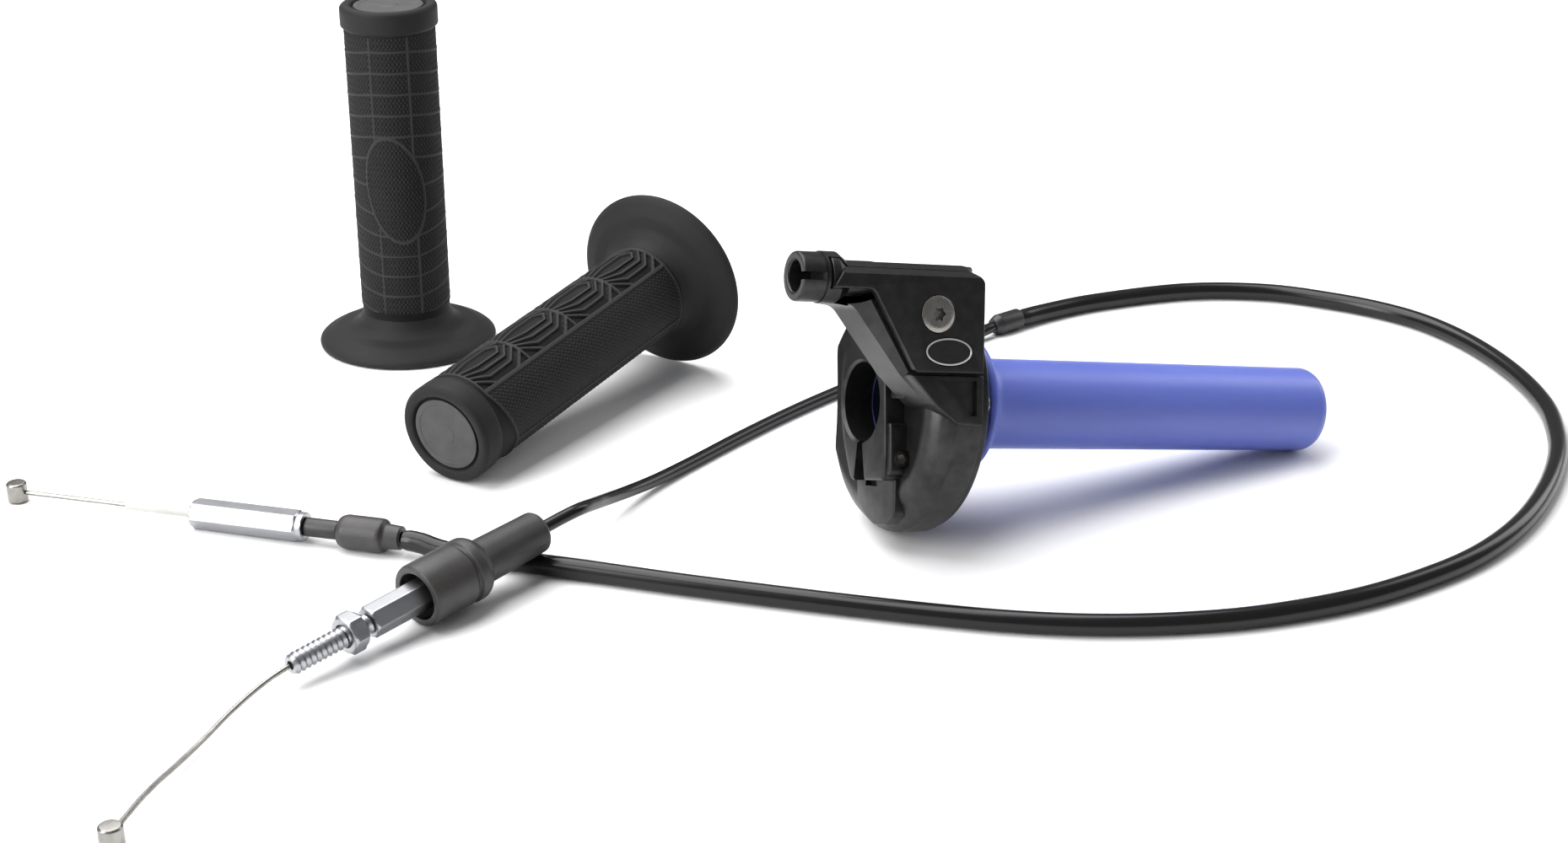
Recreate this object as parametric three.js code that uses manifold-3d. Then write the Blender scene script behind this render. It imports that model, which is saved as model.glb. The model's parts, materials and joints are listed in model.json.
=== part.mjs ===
// Quick-turn motorcycle throttle kit: throttle housing with its twist tube, one throttle cable
// and a pair of rubber grips, laid out on a flat surface.
// Units are millimetres, +Z is up, the surface is z = 0 and the origin is the middle of the
// footprint of the throttle and the two grips.
import * as THREE from "three";
import { mergeVertices } from "three/addons/utils/BufferGeometryUtils.js";
import Module from "manifold-3d";

const wasm = await Module();
wasm.setup();

// ---------------------------------------------------------------- driving dimensions
const GAP = 0.3; // clearance between touching pieces
const BAR_RADIUS = 11.1; // 22.2 mm handlebar

// throttle: local X runs along the bar from the clamp face to the tube end, local -Y is the
// cover side and local Z is the cable inlet side
const CLAMP_LENGTH = 9.2;
const RIM_RADIUS = 37;
const RIM_FRONT = 11;
const RIM_BACK = 19;
const CAVITY_RADIUS = 31.2;
const BACK_PLANE = 25.4; // the drum is flat on the side away from the cover
const BACK_WALL = 2;
const COVER_FACE = -38;
const COVER_THICKNESS = 3;
const CAP_BACK = 30;
const CAP_SCREW_CIRCLE = 33.6;
const TUBE_LENGTH_END = 155;
const TUBE_RADIUS = 13.2;
const TUBE_END_RADIUS = 12.8;
const TUBE_BORE = 11.5;
const FLANGE_FRONT = 32.2;
const FLANGE_RADIUS = 19.5;
const REEL_RADIUS = 29.8;
const REEL_HUB_RADIUS = 22.6;
const REEL_SECTOR = { low: 0.6, high: -1.4 }; // turns from the cover side, about the bar
const REEL_MIDDLE = 12.5;
const ROLLER_AT = { x: 3.8, z: 24.1 };
const ROLLER_RADIUS = 9.8;
const INLET_AT = { y: -30, z: 33.2 };
const INLET_END = -36;
const BADGE_AT = { x: 7.4, z: 13.9 };
const PINCH_BOLT_AT = { x: 4.6, z: -16 };
const THROTTLE_AT = { x: -22.5, y: -96.3 };
const THROTTLE_ROLL = THREE.MathUtils.degToRad(20); // leans back about the bar axis

// grips
const GRIP_LENGTH = 118;
const GRIP_FLANGE_RADIUS = 30;
const GRIP_COLLAR_RADIUS = 16;
const GRIP_COLLAR_LENGTH = 7;
const GRIP_RECESS_RADIUS = 11.9;
const LEFT_GRIP = { barrel: 14.75, bore: 11.0, at: [-100.9, 103.4] };
const RIGHT_GRIP = { barrel: 15.4, bore: 13.1, at: [-123.1, -18.8] };
const RIGHT_GRIP_HEADING = THREE.MathUtils.degToRad(35);

// cable
const SLEEVE_DIAMETER = 6;
const CONDUIT_DIAMETER = 3.8;
const WIRE_DIAMETER = 1.5;
const CARB_END = { at: [-156.7, -106.2, 9.4], heading: 26, pitch: 4 };
const THROTTLE_END = { at: [-148.2, -61.5, 5.35], heading: 139.6, pitch: -1 };
const STEP_FERRULE = { at: [96.7, 28.9, 3.65], heading: 196, pitch: 0 };
const CARB_NIPPLE_AT = [-250.2, -182.9, 3.1];

// ---------------------------------------------------------------- materials
function metal(color, roughness) {
  return new THREE.MeshStandardMaterial({ color, roughness, metalness: 1 });
}

function plain(color, roughness) {
  return new THREE.MeshStandardMaterial({ color, roughness, metalness: 0 });
}

const BLACK_ANODISED = metal(0x26262a, 0.38);
const STAINLESS = metal(0xb9b4ac, 0.35);
const ZINC = metal(0xc3c8cf, 0.3);
const BRASS = metal(0xb08d4a, 0.4);
const BADGE_GREY = metal(0x9a9a9c, 0.45);
const BLUE_NYLON = plain(0x6a78d8, 0.42);
const WHITE_NYLON = plain(0xe8e6df, 0.5);
const BLACK_NYLON = plain(0x1c1c1e, 0.5);
const GRIP_RUBBER = plain(0x2b2c2e, 0.85);
const BOOT_RUBBER = plain(0x242426, 0.75);
const GREY_INLAY = plain(0x55585c, 0.6);
const CONDUIT_BLACK = plain(0x161617, 0.35);

// ---------------------------------------------------------------- geometry helpers
function solid(geometry) {
  const bare = geometry.index ? geometry.toNonIndexed() : geometry.clone();
  bare.deleteAttribute("normal");
  bare.deleteAttribute("uv");
  const merged = mergeVertices(bare, 1e-3);
  return new wasm.Manifold(
    new wasm.Mesh({
      numProp: 3,
      vertProperties: merged.attributes.position.array,
      triVerts: new Uint32Array(merged.index.array),
    }),
  );
}

function geometryOf(body) {
  const mesh = body.getMesh();
  const geometry = new THREE.BufferGeometry();
  const positions = new Float32Array(mesh.numVert * 3);
  for (let i = 0; i < mesh.numVert; i++) {
    const from = mesh.vertProperties.subarray(i * mesh.numProp, i * mesh.numProp + 3);
    positions.set(from, i * 3);
  }
  geometry.setAttribute("position", new THREE.BufferAttribute(positions, 3));
  geometry.setIndex(new THREE.BufferAttribute(new Uint32Array(mesh.triVerts), 1));
  return geometry.toNonIndexed();
}

function join(first, ...others) {
  return geometryOf(others.reduce((sum, g) => sum.add(solid(g)), solid(first)));
}

function cut(first, ...others) {
  return geometryOf(others.reduce((rest, g) => rest.subtract(solid(g)), solid(first)));
}

function area(points) {
  return points.reduce((sum, [x, y], i) => {
    const [nextX, nextY] = points[(i + 1) % points.length];
    return sum + (x * nextY - nextX * y) / 2;
  }, 0);
}

// A profile of [along, radius] points turned about the X axis. A profile that doesn't start
// and end on the axis closes on itself.
function turned(profile, segments = 32) {
  const outline = area(profile) < 0 ? [...profile] : [...profile].reverse();
  const onAxis = profile[0][1] === 0 && profile.at(-1)[1] === 0;
  if (!onAxis) outline.push(outline[0]);
  const points = outline.map(([along, radius]) => new THREE.Vector2(radius, along));
  return new THREE.LatheGeometry(points, segments).rotateZ(-Math.PI / 2);
}

// The same, about the Y axis.
function turnedAboutY(profile, segments = 32) {
  return turned(profile, segments).rotateZ(Math.PI / 2);
}

function tube(from, to, inner, outer, segments = 32) {
  const walls = [[from, outer], [to, outer]];
  if (inner > 0) return turned([...walls, [to, inner], [from, inner]], segments);
  return turned([[from, 0], ...walls, [to, 0]], segments);
}

function hexagon(acrossFlats) {
  const corner = acrossFlats / Math.sqrt(3);
  return Array.from({ length: 6 }, (_, i) => {
    const turn = (i * Math.PI) / 3;
    return [corner * Math.cos(turn), corner * Math.sin(turn)];
  });
}

function shapeOf(points) {
  return new THREE.Shape(points.map(([x, y]) => new THREE.Vector2(x, y)));
}

// An outline of [y, z] points that fills x = from .. to.
function plateAcrossX(points, from, to, bevel = 0) {
  const basis = new THREE.Matrix4().makeBasis(
    new THREE.Vector3(0, 1, 0),
    new THREE.Vector3(0, 0, 1),
    new THREE.Vector3(1, 0, 0),
  );
  return slab(points, to - from, bevel).applyMatrix4(basis).translate(from, 0, 0);
}

// An outline of [x, z] points that fills y = front .. front + depth, with its front at -Y.
function plateAcrossY(points, front, depth, bevel = 0) {
  const basis = new THREE.Matrix4().makeBasis(
    new THREE.Vector3(1, 0, 0),
    new THREE.Vector3(0, 0, 1),
    new THREE.Vector3(0, -1, 0),
  );
  return slab(points, depth, bevel).applyMatrix4(basis).translate(0, front + depth, 0);
}

function slab(points, depth, bevel) {
  const geometry = new THREE.ExtrudeGeometry(shapeOf(points), {
    depth: depth - 2 * bevel,
    bevelEnabled: bevel > 0,
    bevelThickness: bevel,
    bevelSize: bevel,
    bevelOffset: -bevel,
    bevelSegments: 1,
    curveSegments: 8,
  });
  return geometry.translate(0, 0, bevel);
}

function ovalPoints(centre, halfWidth, halfHeight, count = 24) {
  return Array.from({ length: count }, (_, i) => {
    const turn = (2 * Math.PI * i) / count;
    return [centre.x + halfWidth * Math.cos(turn), centre.z + halfHeight * Math.sin(turn)];
  });
}

// A cord along hand-placed points. Its section has `sides` sides.
function cord(points, diameter, sides, steps) {
  const section = Array.from({ length: sides }, (_, i) => {
    const turn = (2 * Math.PI * (i + 0.5)) / sides;
    return [(diameter / 2) * Math.cos(turn), (diameter / 2) * Math.sin(turn)];
  });
  const path = new THREE.CatmullRomCurve3(points.map((p) => new THREE.Vector3(...p)));
  return new THREE.ExtrudeGeometry(shapeOf(section), { steps, extrudePath: path });
}

function mesh(name, geometry, material) {
  const made = new THREE.Mesh(geometry, material);
  made.name = name;
  return made;
}

// ---------------------------------------------------------------- throttle housing
const INLET_PROFILE = [
  [INLET_END, 4.7],
  [INLET_END, 6.4],
  [INLET_END + 0.5, 6.8],
  [-28.6, 6.8],
  [-28.2, 6.1],
  [-27.6, 6.1],
  [-27.2, 6.9],
  [-24.8, 6.9],
  [-21.6, 4.6],
  [-13.4, 4.6],
  [-13.4, 2.4],
  [-21, 2.4],
  [-22, 4.2],
  [INLET_END + 0.5, 4.2],
];

// The room that the inlet ferrule needs in the body and the cover.
function inletRoom() {
  const room = turned(
    [
      [-29, 0],
      [-29, 7.3],
      [-24.6, 7.3],
      [-21.3, 4.9],
      [-13.1, 4.9],
      [-13.1, 0],
    ],
    24,
  );
  return room.translate(0, INLET_AT.y, INLET_AT.z);
}

// The cable's way from the ferrule over the roller, and down to the reel.
function cableWay() {
  const y = INLET_AT.y;
  const overRoller = new THREE.BoxGeometry(19, 4, 4).translate(-4.5, y, INLET_AT.z);
  const toReel = new THREE.BoxGeometry(5, 6, 22).translate(REEL_MIDDLE, y + 1.5, 17);
  return { overRoller, toReel };
}

function clampOutline() {
  return [
    [6.4, 23.5],
    [-4, 24.5],
    [-11.5, 19.5],
    [-14, 12],
    [-14.8, 0],
    [-15.5, -16],
    [-14.5, -22],
    [5.6, -22.5],
    [11.4, -10],
    [13, 2],
    [11.6, 14],
  ].reverse();
}

// What lies behind the drum's three flat back faces, moved inwards by a distance.
function behindDrum(inwards) {
  const flat = [
    { y: BACK_PLANE, z: 0, turn: 0 },
    { y: 17.7, z: 23.5, turn: 0.8 },
    { y: 20.2, z: -23.9, turn: -0.483 },
  ];
  return flat.map(({ y, z, turn }) =>
    new THREE.BoxGeometry(60, 30, 90)
      .translate(15, 15 - inwards, 0)
      .rotateX(turn)
      .translate(0, y, z),
  );
}

function drumCup() {
  const round = turned(
    [
      [6.5, 12],
      [5.6, 24],
      [5, 29],
      [5.6, 31.5],
      [7.2, 34],
      [9.4, 36],
      [RIM_FRONT, RIM_RADIUS],
      [RIM_BACK, RIM_RADIUS],
      [RIM_BACK, CAVITY_RADIUS],
      [CLAMP_LENGTH, CAVITY_RADIUS],
      [CLAMP_LENGTH, 12],
    ],
    40,
  );
  const backWall = tube(7, RIM_BACK, CAVITY_RADIUS - 9, CAVITY_RADIUS + 1, 40);
  return cut(join(round, backWall), ...behindDrum(0));
}

// The room inside the drum. Its wall is even at the back.
function drumCavity() {
  const round = tube(CLAMP_LENGTH, RIM_BACK + 1, 0, CAVITY_RADIUS, 40);
  return cut(round, ...behindDrum(BACK_WALL));
}

const GUIDE_OUTLINE = [
  [-24.6, 37.8],
  [-24.6, 26.6],
  [-19.4, 26],
  [-4.8, 7.5],
  [4, -0.9],
  [10.7, -5.8],
  [RIM_BACK - 0.2, -6.4],
  [RIM_BACK - 0.2, 34.6],
  [15.6, 37.8],
];

function housingBody() {
  const bodyFront = COVER_FACE + COVER_THICKNESS + GAP;
  const guide = plateAcrossY(GUIDE_OUTLINE, bodyFront, 15.4);
  const skirt = plateAcrossY(
    [
      [-4.4, 7.6],
      [4, -0.9],
      [10.7, -5.8],
      [RIM_BACK - 0.2, -6.4],
      [RIM_BACK - 0.2, 7.6],
    ],
    COVER_FACE + 0.6,
    5,
    0.5,
  );
  const shoulder = plateAcrossX(
    [
      [-21, 4],
      [-8, 30],
      [-8, 36.2],
      [-10, 37.8],
      [-30, 37.8],
      [-30, 4],
    ].reverse(),
    CLAMP_LENGTH,
    RIM_BACK - 0.2,
  );
  const cradle = tube(-24.6, -14, 0, 7.4, 24).translate(0, INLET_AT.y, INLET_AT.z);
  const cradleHalf = cut(
    cradle,
    new THREE.BoxGeometry(20, 20, 10).translate(-19, INLET_AT.y, INLET_AT.z + 5),
  );
  const clamp = plateAcrossX(clampOutline(), 0, CLAMP_LENGTH);
  const web = new THREE.BoxGeometry(8, 8, 26).translate(5.2, -20, 14);
  const pinchBoss = plateAcrossX(
    [
      [-10, -5],
      [-17, -6],
      [-17.6, -20],
      [-10, -21.5],
    ],
    0.8,
    CLAMP_LENGTH,
  );
  const footPad = plateAcrossX(
    [
      [9.2, -20],
      [-14, -20],
      [-14, -32],
      [-9, -35],
      [-1, -35],
      [4, -32.4],
      [9, -28],
    ].reverse(),
    4,
    8,
  );
  const atPinchBolt = (g) => g.translate(PINCH_BOLT_AT.x, 0, PINCH_BOLT_AT.z);
  const boltHead = atPinchBolt(turnedAboutY(cylinderProfile(-16.9, -11.2, 3.1), 20));
  const boltShank = atPinchBolt(turnedAboutY(cylinderProfile(-12, 10.6, 2.3), 20));
  const boltMouth = atPinchBolt(turnedAboutY(cylinderProfile(-20, -16.8, 2.4), 20));
  const slot = plateAcrossX(
    [
      [1, -9],
      [-1, -9],
      [-3.6, -24],
      [3.6, -24],
    ].reverse(),
    -1,
    CLAMP_LENGTH - 3.4,
  );
  const barBore = turned(
    [
      [-1, 0],
      [-1, 12.9],
      [0.8, BAR_RADIUS + 0.2],
      [CLAMP_LENGTH + 1, BAR_RADIUS + 0.2],
      [CLAMP_LENGTH + 1, 0],
    ],
    32,
  );
  const cavity = drumCavity();
  const pocketAt = (g) => g.translate(ROLLER_AT.x, 0, ROLLER_AT.z);
  const pocket = pocketAt(turnedAboutY(cylinderProfile(-35.2, -26.2, ROLLER_RADIUS + 0.9), 32));
  const pivotHole = pocketAt(turnedAboutY(cylinderProfile(-30, -21.4, 2.8), 20));
  const { overRoller, toReel } = cableWay();
  const coverRoom = plateAcrossY(
    [
      [-28.2, 40],
      [-28.2, 29.9],
      [-15.9, 29.9],
      [-2.8, 7.9],
      [RIM_BACK + 1, 7.9],
      [RIM_BACK + 1, 40],
    ],
    COVER_FACE - 2,
    2 + COVER_THICKNESS + GAP,
  );
  const panel = plateAcrossY([[4.6, 6.2], [14.6, -3.4], [16.6, -3.4], [16.6, 6.2]], COVER_FACE, 1.5);
  const capScrewHoles = capScrewAngles().map((angle) =>
    onCapCircle(tube(10.6, RIM_BACK + 1, 0, 1.7, 12), angle),
  );
  const joined = join(drumCup(), guide, skirt, shoulder, cradleHalf, clamp, web, pinchBoss, footPad);
  return cut(
    joined,
    cavity,
    barBore,
    slot,
    boltHead,
    boltShank,
    boltMouth,
    pocket,
    pivotHole,
    overRoller,
    toReel,
    inletRoom(),
    coverRoom,
    panel,
    ...capScrewHoles,
  );
}

function cylinderProfile(from, to, radius) {
  return [
    [from, 0],
    [from, radius],
    [to, radius],
    [to, 0],
  ];
}

function capScrewAngles() {
  return [100, 180, 260].map(THREE.MathUtils.degToRad);
}

function housingCover() {
  const outline = [
    [-24.2, 36],
    [-27.6, 30.4],
    [-15.7, 30.2],
    [-2.6, 8.2],
    [RIM_BACK - 0.6, 8.2],
    [RIM_BACK - 0.6, 33.4],
    [15.6, 36],
  ];
  const plate = plateAcrossY(outline, COVER_FACE, COVER_THICKNESS, 0.6);
  const screwSeat = turnedAboutY(
    [
      [COVER_FACE - 1, 0],
      [COVER_FACE - 1, 6.3],
      [COVER_FACE + 2.5, 2.9],
      [COVER_FACE + 4, 2.9],
      [COVER_FACE + 4, 0],
    ],
    28,
  ).translate(ROLLER_AT.x, 0, ROLLER_AT.z);
  const badgeSeat = plateAcrossY(ovalPoints(BADGE_AT, 7.4, 4), COVER_FACE - 1, 1.7);
  return cut(plate, screwSeat, badgeSeat, inletRoom());
}

function coverBadge() {
  return plateAcrossY(ovalPoints(BADGE_AT, 7.1, 3.7), COVER_FACE - 0.1, 0.5);
}

function pivotScrew() {
  const screw = turnedAboutY(
    [
      [COVER_FACE - 0.5, 0],
      [COVER_FACE - 0.5, 3.6],
      [COVER_FACE - 0.1, 5.1],
      [COVER_FACE + 2.4, 2.5],
      [-21.8, 2.5],
      [-21.8, 0],
    ],
    28,
  );
  const socket = plateAcrossY(hexagon(3.6), COVER_FACE - 1, 2.4);
  return cut(screw, socket).translate(ROLLER_AT.x, 0, ROLLER_AT.z);
}

function guideRoller() {
  return turnedAboutY(
    [
      [-33.3, 4.7],
      [-33.3, ROLLER_RADIUS],
      [-32.6, ROLLER_RADIUS],
      [-30.9, ROLLER_RADIUS - 1.7],
      [-29.3, ROLLER_RADIUS - 1.7],
      [-27.6, ROLLER_RADIUS],
      [-26.9, ROLLER_RADIUS],
      [-26.9, 4.7],
    ],
    32,
  ).translate(ROLLER_AT.x, 0, ROLLER_AT.z);
}

function ringAboutPivot(from, to, inner, outer) {
  return turnedAboutY(
    [
      [from, inner],
      [from, outer],
      [to, outer],
      [to, inner],
    ],
    24,
  ).translate(ROLLER_AT.x, 0, ROLLER_AT.z);
}

function rearCap() {
  const outside = turned(
    [
      [RIM_BACK + GAP, 0],
      [RIM_BACK + GAP, RIM_RADIUS - 0.9],
      [RIM_BACK + 2, RIM_RADIUS - 0.9],
      [RIM_BACK + 2.4, RIM_RADIUS - 1.3],
      [RIM_BACK + 2.4, 30.4],
      [CAP_BACK - 1, 21],
      [CAP_BACK, 20],
      [CAP_BACK, 0],
    ],
    40,
  );
  const room = turned(
    [
      [RIM_BACK, 0],
      [RIM_BACK, CAVITY_RADIUS - 0.6],
      [RIM_BACK + GAP, CAVITY_RADIUS - 0.6],
      [21, 28.6],
      [25.6, 20.4],
      [25.6, 0],
    ],
    40,
  );
  const roomInside = cut(room, ...behindDrum(BACK_WALL + 0.9));
  const cap = cut(
    cut(outside, ...behindDrum(0.9)),
    roomInside,
    tube(25, 27.6, 0, 14.2, 40),
    tube(27.6, CAP_BACK + 1, 0, 16.8, 40),
  );
  const seats = capScrewAngles().map((angle) =>
    onCapCircle(
      turned(
        [
          [RIM_BACK, 0],
          [RIM_BACK, 1.7],
          [19.9, 1.7],
          [21.5, 3.1],
          [26, 3.1],
          [26, 0],
        ],
        16,
      ),
      angle,
    ),
  );
  return cut(cap, ...seats);
}

function onCapCircle(geometry, angle) {
  const y = CAP_SCREW_CIRCLE * Math.cos(angle);
  const z = CAP_SCREW_CIRCLE * Math.sin(angle);
  return geometry.translate(0, y, z);
}

function capScrew(angle) {
  const screw = turned(
    [
      [11, 0],
      [11, 1.35],
      [20.1, 1.35],
      [21.3, 2.6],
      [21.5, 2.6],
      [21.5, 0],
    ],
    16,
  );
  const socket = plateAcrossX(hexagon(2), 20.4, 24);
  return onCapCircle(cut(screw, socket), angle);
}

function pinchBolt() {
  const bolt = turnedAboutY(
    [
      [-16.2, 0],
      [-16.2, 2.8],
      [-12.3, 2.8],
      [-12.3, 2],
      [10.2, 2],
      [10.2, 0],
    ],
    20,
  );
  const socket = plateAcrossY(hexagon(2.6), -17, 2.6);
  return cut(bolt, socket).translate(PINCH_BOLT_AT.x, 0, PINCH_BOLT_AT.z);
}

// ---------------------------------------------------------------- twist tube
function throttleTube() {
  return turned(
    [
      [9.8, TUBE_BORE],
      [9.8, 14.4],
      [16.2, 14.4],
      [16.2, 23],
      [18.6, 23],
      [18.6, TUBE_RADIUS],
      [FLANGE_FRONT, TUBE_RADIUS],
      [FLANGE_FRONT, FLANGE_RADIUS - 0.8],
      [FLANGE_FRONT + 0.8, FLANGE_RADIUS],
      [FLANGE_FRONT + 1.8, FLANGE_RADIUS],
      [FLANGE_FRONT + 5.6, TUBE_RADIUS + 0.4],
      [FLANGE_FRONT + 7.4, TUBE_RADIUS],
      [TUBE_LENGTH_END - 3, TUBE_END_RADIUS],
      [TUBE_LENGTH_END - 0.9, TUBE_END_RADIUS - 0.9],
      [TUBE_LENGTH_END, TUBE_END_RADIUS - 3],
      [TUBE_LENGTH_END, 3],
      [TUBE_LENGTH_END - 2.4, 3],
      [TUBE_LENGTH_END - 2.4, TUBE_BORE],
    ],
    32,
  );
}

// The reel has its full radius only where the cable winds on to it.
function cableReel() {
  const hub = tube(9.8, 15.8, 14.8, REEL_HUB_RADIUS, 32);
  const round = turned(
    [
      [9.8, 14.8],
      [9.8, REEL_RADIUS],
      [10.6, REEL_RADIUS],
      [11.4, REEL_RADIUS - 1.6],
      [13.6, REEL_RADIUS - 1.6],
      [14.4, REEL_RADIUS],
      [15.8, REEL_RADIUS],
      [15.8, 14.8],
    ],
    32,
  );
  const away = [REEL_SECTOR.low, Math.PI + REEL_SECTOR.high].map((turn) =>
    new THREE.BoxGeometry(20, 80, 40).translate(12, 0, -20).rotateX(turn),
  );
  const sector = cut(round, ...away);
  const nippleSeat = tube(9, 13.8, 0, 3.2, 16).translate(0, -12, 22.6);
  const window = tube(9, 17, 0, 3.4, 20).translate(0, -22.4, 3);
  const screwHoles = reelScrewAngles().map((angle) =>
    tube(9, 17, 0, 1.6, 12).translate(0, 18.6 * Math.cos(angle), 18.6 * Math.sin(angle)),
  );
  return cut(join(hub, sector), nippleSeat, window, ...screwHoles);
}

function reelScrewAngles() {
  return [0, Math.PI];
}

function reelScrew(angle) {
  const screw = turned(
    [
      [9.3, 0],
      [9.3, 2.2],
      [9.5, 2.4],
      [9.5, 1.3],
      [15.9, 1.3],
      [15.9, 0],
    ],
    14,
  );
  return screw.translate(0, 18.6 * Math.cos(angle), 18.6 * Math.sin(angle));
}

// ---------------------------------------------------------------- grips
// Local X runs from the closed outer end at 0 to the flange face at GRIP_LENGTH.
function grip(barrel, bore) {
  return turned(
    [
      [1.6, 0],
      [1.6, GRIP_RECESS_RADIUS],
      [0.3, GRIP_RECESS_RADIUS + 0.6],
      [0, GRIP_RECESS_RADIUS + 1.6],
      [0, GRIP_COLLAR_RADIUS - 1],
      [1, GRIP_COLLAR_RADIUS],
      [GRIP_COLLAR_LENGTH, GRIP_COLLAR_RADIUS],
      [GRIP_COLLAR_LENGTH + 1, barrel],
      [GRIP_LENGTH - 11.8, barrel],
      [GRIP_LENGTH - 8.4, barrel + 1.6],
      [GRIP_LENGTH - 6.4, barrel + 4.4],
      [GRIP_LENGTH - 5.6, GRIP_FLANGE_RADIUS - 6],
      [GRIP_LENGTH - 3.4, GRIP_FLANGE_RADIUS - 1.4],
      [GRIP_LENGTH - 2, GRIP_FLANGE_RADIUS],
      [GRIP_LENGTH - 0.6, GRIP_FLANGE_RADIUS - 0.2],
      [GRIP_LENGTH, GRIP_FLANGE_RADIUS - 1.2],
      [GRIP_LENGTH, bore + 1.4],
      [GRIP_LENGTH - 1.4, bore],
      [4.4, bore],
      [4.4, 0],
    ],
    28,
  );
}

function gripInlay() {
  return tube(0.6, 1.3, 0, GRIP_RECESS_RADIUS - GAP - 0.2, 28);
}

function gripPieces(side, { barrel, bore }) {
  const group = new THREE.Group();
  group.add(mesh(side + "_grip", grip(barrel, bore), GRIP_RUBBER));
  group.add(mesh(side + "_grip_end_inlay", gripInlay(), GREY_INLAY));
  return group;
}

// ---------------------------------------------------------------- cable fittings
// Carburettor end, local X from the open mouth of the rubber boot towards the conduit.
function carbEnd() {
  const group = new THREE.Group();
  const boot = turned(
    [
      [0, 6.6],
      [0, 8.5],
      [0.8, 8.9],
      [14.8, 8.9],
      [15.2, 8.3],
      [15.9, 8.3],
      [16.2, 9.1],
      [19.4, 9.1],
      [21, 8],
      [21.8, 6.4],
      [44.4, 6],
      [45, 5.4],
      [45, CONDUIT_DIAMETER / 2 + GAP],
      [26, CONDUIT_DIAMETER / 2 + GAP],
      [26, 5.2],
      [20, 5.2],
      [18, 7.2],
      [2, 7.2],
    ],
    24,
  );
  const hexBody = cut(
    plateAcrossX(hexagon(8), -17, 9),
    tube(-18, 10, 0, CONDUIT_DIAMETER / 2 + GAP, 12),
  );
  const screw = cut(tube(-43, -17.3, 0, 3, 20), tube(-44, -17, 0, 1.2, 12));
  const locknut = cut(plateAcrossX(hexagon(10), -25.3, -20.3, 0.6), tube(-26, -20, 0, 3.3, 20));
  group.add(mesh("adjuster_boot", boot, BOOT_RUBBER));
  group.add(mesh("adjuster_hex_body", hexBody, ZINC));
  group.add(mesh("adjuster_screw", screw, ZINC));
  group.add(mesh("adjuster_locknut", locknut, ZINC));
  return place(group, CARB_END);
}

// Throttle end, local X from the sleeve's end out towards the nipple.
function throttleEnd() {
  const group = new THREE.Group();
  const boot = turned(
    [
      [0.4, SLEEVE_DIAMETER / 2 - 1.2],
      [0.4, 3.4],
      [5, 3.7],
      [5.6, 4.8],
      [6.6, 5],
      [17.4, 5],
      [19, 4.4],
      [19.6, 3.4],
      [19.6, 1.8],
    ],
    20,
  );
  const ferrule = turned(
    [
      [19.9, 1.1],
      [19.9, 2.75],
      [30, 2.75],
      [30, 2.2],
      [44, 2.2],
      [44, 1.1],
    ],
    16,
  );
  const adjuster = join(
    plateAcrossX(hexagon(8), 32.2, 66, 0.5),
    tube(30.3, 32.4, 0, 4.1, 24),
  );
  const adjusterBored = cut(adjuster, tube(30, 53, 0, 2.6, 16), tube(52, 67, 0, 1.8, 16));
  const liner = tube(58, 88, 1.05, 1.45, 12);
  group.add(mesh("sleeve_boot", boot, BOOT_RUBBER));
  group.add(mesh("sleeve_ferrule", ferrule, BLACK_NYLON));
  group.add(mesh("cable_adjuster", adjusterBored, ZINC));
  group.add(mesh("cable_liner", liner, WHITE_NYLON));
  group.add(mesh("throttle_wire", tube(40, 121.7, 0, WIRE_DIAMETER / 2, 8), STAINLESS));
  group.add(mesh("throttle_nipple", nippleAcross(125, 3, 6), STAINLESS));
  return place(group, THROTTLE_END);
}

// A barrel nipple whose axis is vertical.
function nippleAcross(at, radius, height) {
  const points = [
    [-height / 2, 0],
    [-height / 2, radius - 0.4],
    [0.4 - height / 2, radius],
    [height / 2 - 0.4, radius],
    [height / 2, radius - 0.4],
    [height / 2, 0],
  ];
  return turned(points, 20).rotateY(-Math.PI / 2).translate(at, 0, 0);
}

function place(group, { at, heading, pitch }) {
  group.position.set(...at);
  group.rotation.set(
    0,
    THREE.MathUtils.degToRad(-pitch),
    THREE.MathUtils.degToRad(heading),
    "ZYX",
  );
  return group;
}

// ---------------------------------------------------------------- cable routes
const SLEEVE_ROUTE = [
  [-147.9, -61.8, 5.0],
  [-144.1, -65.1, 4.7],
  [-136.1, -72.5, 3.2],
  [-111.8, -91.9, 3.05],
  [-86.1, -114.0, 3.05],
  [-67.2, -129.4, 3.05],
  [-48.9, -143.9, 3.05],
  [-30.6, -157.7, 3.05],
  [-12.0, -170.5, 3.05],
  [7.6, -181.1, 3.05],
  [28.7, -189.1, 3.05],
  [51.4, -194.3, 3.05],
  [79.4, -195.9, 3.05],
  [105.4, -192.7, 3.05],
  [128.4, -186.3, 3.05],
  [151.4, -174.7, 3.05],
  [173.4, -158.5, 3.05],
  [192.7, -139.9, 3.05],
  [206.0, -122.3, 3.05],
  [216.0, -104.3, 3.05],
  [223.8, -80.3, 3.05],
  [227.4, -54.7, 3.05],
  [226.0, -32.3, 3.05],
  [220.0, -14.9, 3.05],
  [209.0, 1.7, 3.05],
  [192.0, 19.1, 3.05],
  [165.6, 31.3, 3.05],
  [131.4, 34.5, 3.05],
  [109.4, 32.1, 3.3],
  [97.4, 29.1, 3.65],
];

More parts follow.
